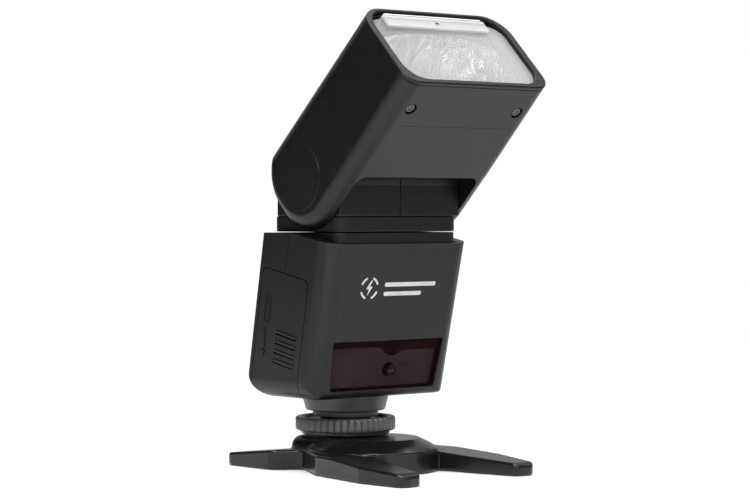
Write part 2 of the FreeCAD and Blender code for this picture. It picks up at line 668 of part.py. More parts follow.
# ---------------------------------------------------------------- what the front shows
def window():
    """The red window with its flange, and the focus lamp that looks out through it."""
    pane = Piece("front_window")
    recess = dim.window_recess
    pane.pad("XZ", recess, 1.95, window_outline(sized(0)))
    low = -dim.window_height
    pane.pad("XZ", 1.95, 2.6, [
        (-dim.window_half_bottom - 0.9, low, 1.5), (dim.window_half_bottom + 0.9, low, 1.5),
        (dim.window_half_top + 0.9, 0.9, 0.6), (-dim.window_half_top - 0.9, 0.9, 0.6)])
    pane.pocket("XZ", 0, 4, Circle(dim.sensor_x, -dim.sensor_drop, dim.sensor_radius + 0.1))
    node(pane, FRONT)
    lens = rod("lamp_barrel", "Y", dim.sensor_radius, (dim.sensor_x, -dim.sensor_drop), 1.1, 6.5)
    flange = rod("lamp_flange", "Y", 3.2, (dim.sensor_x, -dim.sensor_drop), 2.9, 4.0)
    node(fuse("focus_lamp_lens", lens, flange), FRONT)


# ---------------------------------------------------------------- rear panel
def controls():
    face = -0.1
    pane = Piece("display_window")
    pane.pad("XZ", -1.7, face, rectangle(-dim.display_half, dim.display_half, dim.display_low,
                                         dim.display_high, 1.4))
    node(pane, REAR)
    node(block("display_module", (-18, 18), (-3.9, -1.9), (22.2, 40.4)), REAR)
    board = Piece("control_board")
    board.pad("XZ", -5.0, -4.1, rectangle(-23, 23, -2.5, 40.6, 1))
    node(board, REAR)

    for index, x in enumerate(key_places(), start=1):
        key = Piece("function_key_%d" % index)
        low, high = dim.key_level - 1.3, dim.key_level + 1.3
        key.pad("XZ", -1.95, dim.key_rise, rectangle(x - dim.key_half, x + dim.key_half, low, high, 1.2))
        key.pad("XZ", -2.7, -1.95, rectangle(x - dim.key_half - 0.7, x + dim.key_half + 0.7,
                                             low - 0.7, high + 0.7, 1.5))
        key.fillet(0.3, lambda edge, middle: abs(middle.y - dim.key_rise.value) < 0.01)
        node(key, REAR)
    for name, x, rise, radius in ROUND_KEYS:
        key = Piece(name)
        key.pad("XZ", -1.95, 0.8, Circle(x, rise, radius))
        key.pad("XZ", -2.7, -1.95, Circle(x, rise, radius + 0.7))
        key.fillet(0.3, lambda edge, middle: abs(middle.y - 0.8) < 0.01)
        node(key, REAR)

    dial = Piece("select_dial")
    dial.pad("XZ", -1.5, dim.dial_height, Circle(0, dim.dial_level, dim.dial_radius),
             Circle(0, dim.dial_level, dim.dial_bore))
    dial.chamfer(0.35, lambda edge, middle: abs(middle.y - dim.dial_height.value) < 0.01)
    node(dial, REAR)
    button = Piece("set_button")
    button.pad("XZ", -1.2, 1.1, Circle(0, dim.dial_level, dim.set_radius))
    button.fillet(0.3, lambda edge, middle: abs(middle.y - 1.1) < 0.01)
    node(button, REAR)

    knob = Piece("power_switch")
    left = -dim.side_key_x - 4.1
    knob.pad("XZ", -1.95, 0.9, rectangle(left, left + 4, dim.lower_level - 1.4, dim.lower_level + 1.4, 1))
    knob.pad("XZ", -2.6, -1.95, rectangle(left - 1, left + 5, dim.lower_level - 2.2, dim.lower_level + 2.2, 1))
    node(knob, REAR)


# ---------------------------------------------------------------- power and electronics
def insides():
    tray_low, tray_high = dim.cell_low - 7.8, dim.cell_low + dim.cell_pitch + 7.8
    depth = -dim.cell_depth
    tray = block("tray_block", (dim.cell_start - 0.3, 27.2), (depth - 7.8, depth + 7.8),
                 (tray_low, tray_high))
    centres = [(depth, dim.cell_low + dim.cell_pitch * step) for step in (0, 1)]
    bores = [rod("tray_bore", "X", dim.cell_radius + 0.25, spot, -27, 26.9) for spot in centres]
    node(cut("battery_tray", tray, *bores), REAR)
    cells = []
    for spot in centres:
        end = dim.cell_start + dim.cell_length
        can = rod("cell_can", "X", dim.cell_radius, spot, dim.cell_start, end - 1)
        tip = rod("cell_tip", "X", 2.7, spot, end - 1, end)
        cells.append(fuse("cell", can, tip))
    node(group("battery_cells", *cells), REAR)
    plates = [rod("contact_plate_round", "X", 5, spot, 26.45, 26.85) for spot in centres]
    node(group("battery_contacts", *plates), REAR)

    node(rod("flash_capacitor", "X", 5.6, (-17.0, 55), -21, 21))
    node(rear_box("main_board", (-25, 25), (-22.6, -21.4), (-2.9, 12)))
    node(rear_box("charging_transformer", (10, 21), (-26.6, -22.7), (3, 11)))
    node(rear_box("usb_socket", (21.5, 27.8), (-8.6, -5.5), (USB_LEVEL - 3.7, USB_LEVEL + 3.7)))


def case_screws():
    """Screws from inside the case that hold its floor to the foot's cone."""
    screws = []
    for x, y in CASE_SCREWS:
        head = rod("case_screw_head", "Z", 1.8, (x, y), dim.case_bottom + dim.wall, dim.case_bottom + 3.2)
        shank = rod("case_screw_shank", "Z", 1.0, (x, y), dim.case_bottom - 3.5, dim.case_bottom + dim.wall)
        screws.append(fuse("case_screw", head, shank))
    node(group("case_screws", *screws))


# ---------------------------------------------------------------- swivel and neck
def platform(half, front, rear):
    """A plan outline with round front corners and nearly square rear ones."""
    return [(-half, front, dim.hub_corner), (half, front, dim.hub_corner), (half, rear, 0.8),
            (-half, rear, 0.8)]


def swivel():
    seat = Piece("swivel_seat")
    seat.pad("XY", dim.seat_bottom, dim.seat_top,
             platform(dim.seat_half, dim.seat_front, dim.seat_rear))
    seat.pocket("XY", dim.seat_bottom, dim.seat_top,
                Circle(0, dim.turn_y, dim.stem_radius + dim.running_fit))
    node(seat)
    hub = Piece("swivel_hub")
    hub.pad("XY", dim.hub_bottom, dim.hub_top, platform(dim.hub_half, dim.hub_front, dim.hub_rear))
    hub.pad("XY", dim.seat_bottom - 1.6, dim.hub_bottom, Circle(0, dim.turn_y, dim.stem_radius))
    hub.pocket("XY", dim.seat_bottom - 1.6, dim.hub_top, Circle(0, dim.turn_y, 4.5))
    node(hub)
    washer = Piece("swivel_washer")
    washer.pad("XY", dim.seat_bottom - 1.5, dim.seat_bottom - 0.4,
               Circle(0, dim.turn_y, 10.5), Circle(0, dim.turn_y, dim.stem_radius))
    node(washer)


def neck():
    """Two half shells round the tilt axis, on the swivel hub."""
    inner_drum = dim.drum_radius - dim.neck_wall
    inner_front, inner_rear = dim.neck_front + dim.neck_wall, dim.neck_rear - dim.neck_wall
    for name, sign in (("neck_left", -1), ("neck_right", 1)):
        near, far = dim.seam / 2 * sign, dim.neck_half * sign
        deep = (dim.neck_half - dim.neck_wall) * sign
        low, high = (near, far) if sign > 0 else (far, near)
        inner_low, inner_high = (near - 1, deep) if sign > 0 else (deep, near + 1)
        drum = rod("drum", "X", dim.drum_radius, (dim.hinge_y, dim.hinge_z), low, high)
        post = block("post", (low, high), (dim.neck_front, dim.neck_rear), (dim.hub_top, dim.hinge_z))
        room = rod("drum_inside", "X", inner_drum, (dim.hinge_y, dim.hinge_z), inner_low, inner_high)
        well = block("post_inside", (inner_low, inner_high), (inner_front, inner_rear), (80, dim.hinge_z - 6))
        bore = rod("axle_bore", "X", dim.axle_radius + dim.running_fit, (dim.hinge_y, dim.hinge_z),
                   low - 1, high + 1)
        under = block("neck_under", (-40, 40), (-60, 40), (70, dim.hub_top))
        node(cut(name, fuse(name + "_outer", drum, post), room, well, bore, under))


# ---------------------------------------------------------------- head
def rounded_section(half, under, over, low_corner, high_corner):
    return [(-half, -under, low_corner), (half, -under, low_corner), (half, over, high_corner),
            (-half, over, high_corner)]


def head_section(inset):
    """The head's cross-section at its front: rounder at the top than underneath."""
    return rounded_section(dim.head_half - inset, dim.head_under - inset, dim.head_over - inset,
                           dim.under_corner - inset, dim.top_corner - inset)


def arm_section():
    """The head's cross-section behind the hinge: a little larger, with tighter corners."""
    return rounded_section(dim.arm_half, dim.head_under, dim.arm_over, dim.arm_under_corner,
                           dim.arm_top_corner)


def head_shells():
    """Upper and lower shells: two arms beside the drum, a bulkhead and a hollow front."""
    front, end = dim.head_reach - dim.bezel_depth, -dim.arm_end
    profile = Piece("head_profile")
    profile.pad("YZ", -dim.arm_half, dim.arm_half, [
        (-dim.head_under, end, dim.arm_end), (dim.arm_over, end, dim.arm_end + 1.6),
        (dim.arm_over, 20, 0), (dim.arm_over, front + 5, 0), (-dim.head_under, front + 5, 0)])
    side = dim.arm_half.value - 0.01
    profile.fillet(dim.arm_edge, lambda edge, middle: abs(middle.x) > side and middle.z < front.value + 4)
    sections = []
    for level, outline in ((end - 1, arm_section()), (front, head_section(sized(0)))):
        section = doc.addObject("Sketcher::SketchObject", "head_section")
        bind(section, "Placement.Base.z", level)
        draw_outline(section, outline)
        sections.append(section)
    outer = common("head_outer", profile, ruled_loft("head_length", sections))
    hollow = prism("head_hollow", "XY", dim.bulkhead, 70, head_section(dim.head_wall))
    room = rod("drum_space", "X", dim.drum_room, (0, 0), -dim.arm_inner, dim.arm_inner)
    behind = block("drum_behind", (-dim.arm_inner, dim.arm_inner), (-30, 30), (-30, 0.5))
    below = prism("drum_below", "XZ", -30, 0, [
        (-dim.arm_inner, -30, 0), (dim.arm_inner, -30, 0),
        (dim.arm_inner, dim.cutout_top, dim.cutout_corner),
        (-dim.arm_inner, dim.cutout_top, dim.cutout_corner)])
    face = dim.arm_half - 0.15
    caps = [rod("cap_recess", "X", dim.cap_radius + 0.1, (0, 0), low, high)
            for low, high in ((-40, -face + dim.cap_depth), (face - dim.cap_depth, 40))]
    bore = rod("arm_bore", "X", dim.axle_radius, (0, 0), -40, 40)
    wells = [rod("screw_well", "Y", 2.1, (x, 47.2), -20, -dim.head_under + 1.1) for x in (-23.1, 23.1)]
    shell = cut("head_shell", outer, hollow, room, behind, below, bore, *(caps + wells))
    gap = dim.seam / 2
    upper = block("upper_half", (-40, 40), (gap, 40), (-40, 80))
    lower = block("lower_half", (-40, 40), (-40, -gap), (-40, 80))
    node(common("head_upper_shell", shell, upper), HEAD)
    node(common("head_lower_shell", shell, lower), HEAD)
    for name, low, high in (("hinge_cap_left", -face, -face + dim.cap_depth),
                            ("hinge_cap_right", face - dim.cap_depth, face)):
        node(rod(name, "X", dim.cap_radius, (0, 0), low, high), HEAD)
    inner, outer_end = dim.neck_half - 4, face - dim.cap_depth
    for name, low, high in (("tilt_axle_left", -outer_end, -inner), ("tilt_axle_right", inner, outer_end)):
        sleeve = rod(name + "_sleeve", "X", dim.axle_radius, (0, 0), low, high)
        hole = rod(name + "_hole", "X", 4, (0, 0), -40, 40)
        node(cut(name, sleeve, hole), HEAD)
    heads = [rod("head_screw", "Y", 1.7, (x, 47.2), -dim.head_under + 0.3, -dim.head_under + 1.1)
             for x in (-23.1, 23.1)]
    node(group("head_screws", *heads), HEAD)


def head_front():
    """Bezel, clear front lens, pull-out diffuser panel and bounce card."""
    front = dim.head_reach
    bezel = Piece("front_bezel")
    opening = [(-dim.window_half, -dim.window_under, dim.window_corner),
               (dim.window_half, -dim.window_under, dim.window_corner),
               (dim.window_half, dim.window_over, dim.window_corner),
               (-dim.window_half, dim.window_over, dim.window_corner)]
    bezel.pad("XY", front - dim.bezel_depth, front, head_section(sized(0)), opening)
    node(bezel, HEAD)
    lens = Piece("front_lens")
    lens.pad("XY", front - 4.1, front - dim.bezel_depth, [
        (-29, -15.5, 7), (29, -15.5, 7), (29, 13.6, 5.5), (-29, 13.6, 5.5)])
    node(lens, HEAD)
    panel = block("panel_plate", (-dim.panel_half, dim.panel_half),
                  (dim.panel_low, dim.panel_low + dim.panel_thick), (dim.plate_back, front - 0.4))
    lip = block("panel_lip", (-dim.panel_half, dim.panel_half), (dim.lip_low, dim.panel_low + dim.panel_thick),
                (front - 1.2, front - 0.4))
    node(fuse("wide_panel", panel, lip), HEAD)
    node(block("bounce_card", (-dim.panel_half + 1, dim.panel_half - 1),
               (dim.card_low, dim.card_low + dim.card_thick), (dim.plate_back, front - 0.3)), HEAD)


GUIDE_ROD = (-24.0, -12.5)


def zoom():
    """Reflector and tube on a carriage that a screw drives along two rods."""
    front, back = dim.reflector_front, dim.reflector_front - dim.reflector_depth
    half, tall = dim.reflector_half, dim.reflector_tall
    outer = Piece("reflector_outer")
    outer.pad("YZ", -half, half, [(-tall, front, 0), (-tall, front - 4, 0), (-4, back, 1),
                                  (4, back, 1), (tall, front - 4, 0), (tall, front, 0)])
    inner = Piece("reflector_inner")
    inner.pad("YZ", -half + 1.2, half - 1.2, [
        (-tall + 1, front + 1, 0), (-tall + 1, front - 4, 0), (-3, back + 1.2, 0.8), (3, back + 1.2, 0.8),
        (tall - 1, front - 4, 0), (tall - 1, front + 1, 0)])
    tube_hole = rod("tube_hole", "X", dim.tube_radius + 0.1, (0, back + 4), -40, 40)
    node(cut("reflector", outer, inner, tube_hole), HEAD)
    node(rod("flash_tube", "X", dim.tube_radius, (0, back + 4), -27.2, 27.2), HEAD)
    nut = block("carriage_nut", (dim.screw_x - 2.2, dim.screw_x + 2.2), (-15.1, -tall - 0.05),
                (back + 6, back + 14))
    thread = rod("nut_bore", "Z", dim.screw_radius + dim.running_fit, (dim.screw_x, dim.screw_level), 0, 80)
    shelf = block("carriage_shelf", (-26.6, dim.screw_x + 2.2), (-13.8, -tall - 0.05),
                  (back + 13, back + 15))
    rod_bore = rod("rod_bore", "Z", 0.8 + dim.running_fit, GUIDE_ROD, 0, 80)
    node(cut("zoom_carriage", fuse("carriage_solid", nut, shelf), thread, rod_bore), HEAD)
    node(rod("guide_rod", "Z", 0.8, GUIDE_ROD, dim.bulkhead + 0.1, dim.reflector_front + 1.5), HEAD)
    node(rod("zoom_motor", "Z", 2.7, (dim.screw_x, dim.screw_level), dim.bulkhead + 0.1, dim.bulkhead + 9), HEAD)
    node(rod("zoom_screw", "Z", dim.screw_radius, (dim.screw_x, dim.screw_level),
             dim.bulkhead + 9.3, dim.reflector_front + 1), HEAD)


# ---------------------------------------------------------------- the whole flash
def check_states():
    """Stop at any object that failed to rebuild, and at any sub-part that is not sound."""
    for item in doc.Objects:
        if "Invalid" in item.State or "Error" in item.State:
            raise RuntimeError("%s did not rebuild: %s" % (item.Label, item.State))
    for item in NODES:
        if item.Shape.isNull() or not item.Shape.isValid() or not item.Shape.Solids:
            raise RuntimeError("%s is not a sound solid" % item.Label)


def export():
    os.makedirs("parts", exist_ok=True)
    for item in NODES:
        item.Shape.exportStep("parts/%s.step" % item.Label)


stand_base()
stand_insert()
foot()
lock()
case()
window()
controls()
insides()
case_screws()
swivel()
neck()
head_shells()
head_front()
zoom()
doc.recompute()
check_states()
export()
print(len(NODES), "sub-parts")
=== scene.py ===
import bmesh
import bpy
import json
import math
from mathutils import Matrix, Vector

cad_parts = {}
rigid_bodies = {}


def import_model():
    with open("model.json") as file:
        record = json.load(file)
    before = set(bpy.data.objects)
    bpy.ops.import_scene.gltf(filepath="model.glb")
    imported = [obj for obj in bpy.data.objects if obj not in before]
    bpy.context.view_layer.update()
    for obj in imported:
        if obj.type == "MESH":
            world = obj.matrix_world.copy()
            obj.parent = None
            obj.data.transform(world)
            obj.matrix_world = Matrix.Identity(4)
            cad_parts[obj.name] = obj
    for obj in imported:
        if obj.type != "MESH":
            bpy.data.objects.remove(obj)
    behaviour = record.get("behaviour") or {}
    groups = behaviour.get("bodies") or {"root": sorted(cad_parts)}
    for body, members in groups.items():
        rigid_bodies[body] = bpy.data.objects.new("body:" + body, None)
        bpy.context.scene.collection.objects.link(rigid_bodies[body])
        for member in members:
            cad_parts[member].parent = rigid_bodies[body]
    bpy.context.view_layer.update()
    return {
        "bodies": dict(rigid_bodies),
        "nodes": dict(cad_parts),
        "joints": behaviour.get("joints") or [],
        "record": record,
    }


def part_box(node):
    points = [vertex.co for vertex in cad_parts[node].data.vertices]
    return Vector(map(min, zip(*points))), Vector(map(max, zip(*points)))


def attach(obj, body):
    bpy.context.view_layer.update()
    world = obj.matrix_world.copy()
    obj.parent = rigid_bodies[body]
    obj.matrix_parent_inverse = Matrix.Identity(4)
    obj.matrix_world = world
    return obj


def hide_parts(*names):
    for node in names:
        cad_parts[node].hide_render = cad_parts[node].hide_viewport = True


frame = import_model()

NODES = frame["nodes"]
MM = 0.001
SHARP_ANGLE, FLAT_ANGLE = 32, 0.4      # degrees: edges rounded above the first, faces joined below the second
FINE_WELD, WIDE_WELD = 0.002, 0.25     # millimetres between corners that become one


# ---------------------------------------------------------------- shader helpers
class Shader:
    """A node material built around one Principled shader."""

    def __init__(self, name, colour, roughness, **settings):
        self.material = bpy.data.materials.new(name)
        self.material.use_nodes = True
        self.tree = self.material.node_tree
        self.principled = self.tree.nodes["Principled BSDF"]
        self.principled.inputs["Base Color"].default_value = (*colour, 1)
        self.principled.inputs["Roughness"].default_value = roughness
        for key, value in settings.items():
            label = "IOR" if key == "ior" else key.replace("_", " ").title()
            self.principled.inputs[label].default_value = value
        self.place = self.node("ShaderNodeTexCoord").outputs["Object"]
        self.height = None

    def node(self, kind, **properties):
        made = self.tree.nodes.new(kind)
        for key, value in properties.items():
            setattr(made, key, value)
        return made

    def link(self, source, target):
        self.tree.links.new(source, target)

    def noise(self, size, detail=3.0, stretch=(1, 1, 1)):
        """A noise whose features are about size metres across."""
        mapping = self.node("ShaderNodeMapping")
        mapping.inputs["Scale"].default_value = stretch
        self.link(self.place, mapping.inputs["Vector"])
        noise = self.node("ShaderNodeTexNoise")
        noise.inputs["Scale"].default_value = 1.0 / size
        noise.inputs["Detail"].default_value = detail
        self.link(mapping.outputs["Vector"], noise.inputs["Vector"])
        return noise.outputs["Fac"]

    def cells(self, size):
        cells = self.node("ShaderNodeTexVoronoi")
        cells.inputs["Scale"].default_value = 1.0 / size
        self.link(self.place, cells.inputs["Vector"])
        return cells.outputs["Distance"]

    def spread(self, factor, low, high, first=0.35, last=0.65):
        """Maps a factor between first and last to a value between low and high."""
        spread = self.node("ShaderNodeMapRange")
        for name, value in (("From Min", first), ("From Max", last), ("To Min", low), ("To Max", high)):
            spread.inputs[name].default_value = value
        self.link(factor, spread.inputs["Value"])
        return spread.outputs["Result"]

    def tint(self, factor, first, second):
        mix = self.node("ShaderNodeMix", data_type="RGBA")
        mix.inputs["A"].default_value = (*first, 1)
        mix.inputs["B"].default_value = (*second, 1)
        self.link(factor, mix.inputs["Factor"])
        return mix.outputs["Result"]

    def colour_from(self, socket):
        self.link(socket, self.principled.inputs["Base Color"])

    def mottle(self, colour, size, share=0.15):
        """Uneven colour, share darker and lighter than the given one."""
        dark = tuple(c * (1 - share) for c in colour)
        light = tuple(min(1, c * (1 + share)) for c in colour)
        self.colour_from(self.tint(self.spread(self.noise(size, detail=4), 0, 1), dark, light))

    def uneven_gloss(self, size, low, high, stretch=(1, 1, 1)):
        self.link(self.spread(self.noise(size, stretch=stretch), low, high),
                  self.principled.inputs["Roughness"])

    def bump(self, factor, depth):
        """Adds relief of that depth in metres on top of any relief so far."""
        bump = self.node("ShaderNodeBump")
        bump.inputs["Distance"].default_value = depth
        self.link(factor, bump.inputs["Height"])
        if self.height is not None:
            self.link(self.height, bump.inputs["Normal"])
        self.height = bump.outputs["Normal"]
        self.link(self.height, self.principled.inputs["Normal"])


def moulded(name, colour, roughness, grain=0.22 * MM, depth=0.004 * MM, **settings):
    """Injection-moulded plastic: fine spark-eroded grain and faintly uneven gloss."""
    made = Shader(name, colour, roughness, **settings)
    made.mottle(colour, 9 * MM, 0.1)
    made.uneven_gloss(3 * MM, roughness - 0.03, roughness + 0.03)
    made.bump(made.cells(grain), depth)
    return made.material


def clear(name, colour, roughness, cover, **settings):
    """A see-through plastic that hides cover of what is behind each face."""
    made = Shader(name, colour, roughness, alpha=cover, **settings)
    made.uneven_gloss(6 * MM, roughness * 0.8, roughness * 1.3)
    return made.material


def metal(name, colour, roughness, grain=(1, 1, 1), depth=0.0008 * MM):
    """Bare or plated metal, with fine scratches along grain."""
    made = Shader(name, colour, roughness, metallic=1.0)
    made.uneven_gloss(1.5 * MM, roughness - 0.05, roughness + 0.07, stretch=grain)
    made.bump(made.noise(0.4 * MM, stretch=grain), depth)
    return made.material


def ribbed_with_painted_shade(name, left, right, roughness, cover):
    """Ribbed clear plastic with a soft waviness; its colour carries painted shade, darker toward the left end
    and lighter toward the right.
    """
    made = Shader(name, right, roughness, alpha=cover)
    split = made.node("ShaderNodeSeparateXYZ")
    made.link(made.place, split.inputs["Vector"])
    # painted shade: the colour runs from the darker left end to the lighter right end along X
    made.colour_from(made.tint(made.spread(split.outputs["X"], 0, 1, -20 * MM, 26 * MM), left, right))
    made.bump(made.noise(9 * MM, detail=1), 0.02 * MM)
    return made.material


def mirror(name, colour, roughness):
    """Vapour-coated plastic whose soft dents break up what it shows."""
    made = Shader(name, colour, roughness, metallic=1.0)
    made.uneven_gloss(4 * MM, roughness - 0.04, roughness + 0.08)
    made.bump(made.noise(6 * MM, detail=2, stretch=(1, 1, 0.5)), 1.8 * MM)
    return made.material


CASE = moulded("case_plastic", (0.0055, 0.0055, 0.0062), 0.34, ior=1.35)
STAND = moulded("stand_plastic", (0.0060, 0.0060, 0.0066), 0.22, grain=0.16 * MM, depth=0.001 * MM, ior=1.42)
KNURL = moulded("knurled_plastic", (0.062, 0.062, 0.063), 0.34, grain=0.16 * MM, depth=0.002 * MM)
# near black for dark joints and gaps, and painted shade where it stands for the shaded inside behind the red
# window
DARK_GAP_AND_SHADE = moulded("dark_gap_and_painted_shade", (0.004, 0.004, 0.004), 0.7)
INSULATOR = moulded("dark_insulator", (0.022, 0.022, 0.023), 0.5)
KEY = moulded("key_plastic", (0.034, 0.034, 0.0355), 0.40, grain=0.16 * MM)
PRINT = moulded("printed_mark", (0.50, 0.50, 0.49), 0.55, grain=0.1 * MM, depth=0.001 * MM)
CARD = moulded("white_card", (0.80, 0.80, 0.78), 0.5, grain=0.3 * MM)
TAPE = moulded("transformer_tape", (0.52, 0.38, 0.05), 0.35)
SLEEVE = moulded("capacitor_sleeve", (0.010, 0.011, 0.018), 0.25)
JACKET = moulded("cell_jacket", (0.020, 0.021, 0.024), 0.22)
BOARD = moulded("circuit_board", (0.010, 0.085, 0.032), 0.3)
LCD = moulded("display_grey", (0.30, 0.345, 0.29), 0.35, grain=0.3 * MM, depth=0.0005 * MM)
SEGMENT = moulded("display_segment", (0.022, 0.026, 0.024), 0.4)
# painted reflection: the housing's light colour stands in for a reflection in the red window
PAINTED_REFLECTION_HOUSING = moulded("lamp_housing_painted_reflection", (0.27, 0.215, 0.225), 0.55, depth=0.0002 * MM, ior=1.3)
STEEL = metal("bright_steel", (0.56, 0.56, 0.57), 0.3, grain=(1, 6, 1))
BRASS = metal("brass", (0.62, 0.43, 0.17), 0.28)
GOLD = metal("contact_metal", (0.72, 0.53, 0.24), 0.22)
BLACK_STEEL = metal("blackened_screw", (0.10, 0.10, 0.105), 0.34)
MIRROR = mirror("mirror_reflector", (0.66, 0.66, 0.65), 0.17)
RED_PANE = clear("red_window", (0.009, 0.0005, 0.0009), 0.035, 0.48, ior=1.10)
RED_LENS = clear("red_lamp_lens", (0.012, 0.001, 0.0018), 0.03, 0.85, ior=1.34)
# the clear lens, with painted shade darker at its left end and lighter at its right
FRESNEL = ribbed_with_painted_shade("clear_lens", (0.40, 0.405, 0.395), (0.74, 0.745, 0.735), 0.12, 0.36)
DIFFUSER = clear("diffuser", (0.74, 0.745, 0.745), 0.14, 0.40)
GLASS = clear("tube_glass", (0.9, 0.92, 0.93), 0.03, 0.3)
PANE = clear("display_glass", (0.012, 0.013, 0.014), 0.05, 0.22)
LAMP_KEY = clear("lamp_key", (0.34, 0.012, 0.008), 0.16, 0.93)


# ---------------------------------------------------------------- frames of the CAD, in millimetres
def leaning(degrees, y, z):
    """A frame turned about X: X is to the right, Z runs up the face and Y is at right angles to it."""
    return Matrix.Translation((0, y, z)) @ Matrix.Rotation(math.radians(degrees), 4, "X")


FRONT = leaning(12.1, -22.5, 43.3)     # Y points into the case, Z 0 is the red window's top edge
REAR = leaning(11.0, 14.7, 34.0)       # Y points out of the rear panel
HEAD = leaning(45.0, -13.2, 97.2)      # Z runs along the head from its hinge, Y is its upper side
UPRIGHT = Matrix.Rotation(math.radians(90), 4, "X")     # local Y points up, Z points to the front
TO_LEFT = Matrix.Rotation(math.radians(90), 4, "Z")     # local Y points to -X, X points to +Y
READING = REAR @ Matrix.Rotation(math.radians(180), 4, "Z")    # as its reader sees it, Y into the case


# ---------------------------------------------------------------- shape helpers
def arc(x, z, radius, start, end, steps):
    """Points of an arc, angles in degrees."""
    turns = [math.radians(start + (end - start) * i / steps) for i in range(steps + 1)]
    return [(x + radius * math.cos(t), z + radius * math.sin(t)) for t in turns]


def rounded(x0, x1, z0, z1, radius, steps=5):
    """A rectangle with round corners, anticlockwise."""
    points = []
    for x, z, start in ((x1 - radius, z0 + radius, -90), (x1 - radius, z1 - radius, 0),
                        (x0 + radius, z1 - radius, 90), (x0 + radius, z0 + radius, 180)):
        points += arc(x, z, radius, start, start + 90, steps)
    return points


def circle(x, z, radius, steps=32):
    return arc(x, z, radius, 0, 360, steps)[:-1]


def shrunk(outline, amount):
    """The outline moved in by amount, corner by corner."""
    moved = []
    for index, (x, z) in enumerate(outline):
        before, after = outline[index - 1], outline[(index + 1) % len(outline)]
        first = Vector((x - before[0], z - before[1])).normalized()
        second = Vector((after[0] - x, after[1] - z)).normalized()
        normal = Vector((-first.y - second.y, first.x + second.x))
        scale = amount * 2 / max(normal.length_squared, 0.3)
        moved.append((x + normal.x * scale, z + normal.y * scale))
    return moved


class Shape:
    """Solids in millimetres gathered in one frame."""

    def __init__(self, frame=Matrix.Identity(4)):
        self.frame = frame
        self.mesh = bmesh.new()

    def rings(self, rings, caps=True, closed=False):
        """A skin through rings of points, each ring closed."""
        made = [[self.mesh.verts.new(self.frame @ Vector(p)) for p in ring] for ring in rings]
        pairs = list(zip(made, made[1:]))
        if closed:
            pairs.append((made[-1], made[0]))
        for low, high in pairs:
            for i in range(len(low)):
                j = (i + 1) % len(low)
                self.mesh.faces.new((low[i], low[j], high[j], high[i]))
        if caps and not closed:
            self.mesh.faces.new(list(reversed(made[0])))
            self.mesh.faces.new(made[-1])
        return self

    def slab(self, outline, low, high, edge=0.0, steps=3):
        """The outline (x, z) from y = low to high, with the far edge rounded over by edge."""
        side = 1 if high > low else -1
        rings = [[(x, low, z) for x, z in outline]]
        for i in range(steps + 1 if edge else 1):
            turn = math.radians(90 * i / steps)
            inner = shrunk(outline, edge * (1 - math.cos(turn))) if edge else outline
            rings.append([(x, high - side * edge * (1 - math.sin(turn)), z) for x, z in inner])
        return self.rings(rings)

    def turn(self, profile, x=0.0, z=0.0, steps=48, ripple=None, closed=False):
        """The profile of (radius, y) turned about the Y axis through (x, z); ripple(turn) moves the rim."""
        rings = []
        for radius, y, *weight in profile:
            ring = []
            for i in range(steps):
                turn = 2 * math.pi * i / steps
                reach = radius + (ripple(turn) * weight[0] if ripple and weight else 0)
                ring.append((x + reach * math.cos(turn), y, z + reach * math.sin(turn)))
            rings.append(ring)
        return self.rings(rings, closed=closed)

    def pierced(self, outer, inner, low, high, floor):
        """A solid from low to high with a hole of outline inner, floor deep."""
        top = [self.mesh.verts.new(self.frame @ Vector((x, high, z))) for x, z in outer]
        lip = [self.mesh.verts.new(self.frame @ Vector((x, high, z))) for x, z in inner]
        edges = [self.mesh.edges.new((loop[i - 1], loop[i])) for loop in (top, lip) for i in range(len(loop))]
        bmesh.ops.triangle_fill(self.mesh, use_beauty=True, edges=edges)
        for loop, outline, level in ((top, outer, low), (lip, inner, floor)):
            base = [self.mesh.verts.new(self.frame @ Vector((x, level, z))) for x, z in outline]
            for i in range(len(loop)):
                self.mesh.faces.new((loop[i - 1], loop[i], base[i], base[i - 1]))
            self.mesh.faces.new(base)
        return self

    def wire(self, path, radius, steps=8):
        """A round wire along a path of points."""
        path = [Vector(p) for p in path]
        rings, side = [], None
        for index, point in enumerate(path):
            ahead = path[min(index + 1, len(path) - 1)] - path[max(index - 1, 0)]
            ahead.normalize()
            side = side or ahead.orthogonal().normalized()
            side = (side - ahead * side.dot(ahead)).normalized()
            other = ahead.cross(side)
            rings.append([point + (side * math.cos(t) + other * math.sin(t)) * radius
                          for t in (2 * math.pi * k / steps for k in range(steps))])
        return self.rings(rings)

    def sheet(self, across, along, height, thickness):
        """A plate whose upper side has a relief: across and along are (start, end, steps)."""
        def level(i, j, flat):
            u = across[0] + (across[1] - across[0]) * i / across[2]
            v = along[0] + (along[1] - along[0]) * j / along[2]
            return height(u, v, thickness if flat else 0.0, flat)
        columns, rows = across[2] + 1, along[2] + 1
        grids = [[self.mesh.verts.new(self.frame @ Vector(level(i, j, flat)))
                  for j in range(rows) for i in range(columns)] for flat in (False, True)]
        for grid, flip in zip(grids, (False, True)):
            for j in range(rows - 1):
                for i in range(columns - 1):
                    at = j * columns + i
                    corners = [grid[at], grid[at + 1], grid[at + columns + 1], grid[at + columns]]
                    self.mesh.faces.new(corners[::-1] if flip else corners)
        rim = [i for i in range(columns)] + [j * columns + columns - 1 for j in range(1, rows)]
        rim += [(rows - 1) * columns + i for i in range(columns - 2, -1, -1)]
        rim += [j * columns for j in range(rows - 2, 0, -1)]
        for i in range(len(rim)):
            a, b = rim[i - 1], rim[i]
            self.mesh.faces.new((grids[0][b], grids[0][a], grids[1][a], grids[1][b]))
        return self


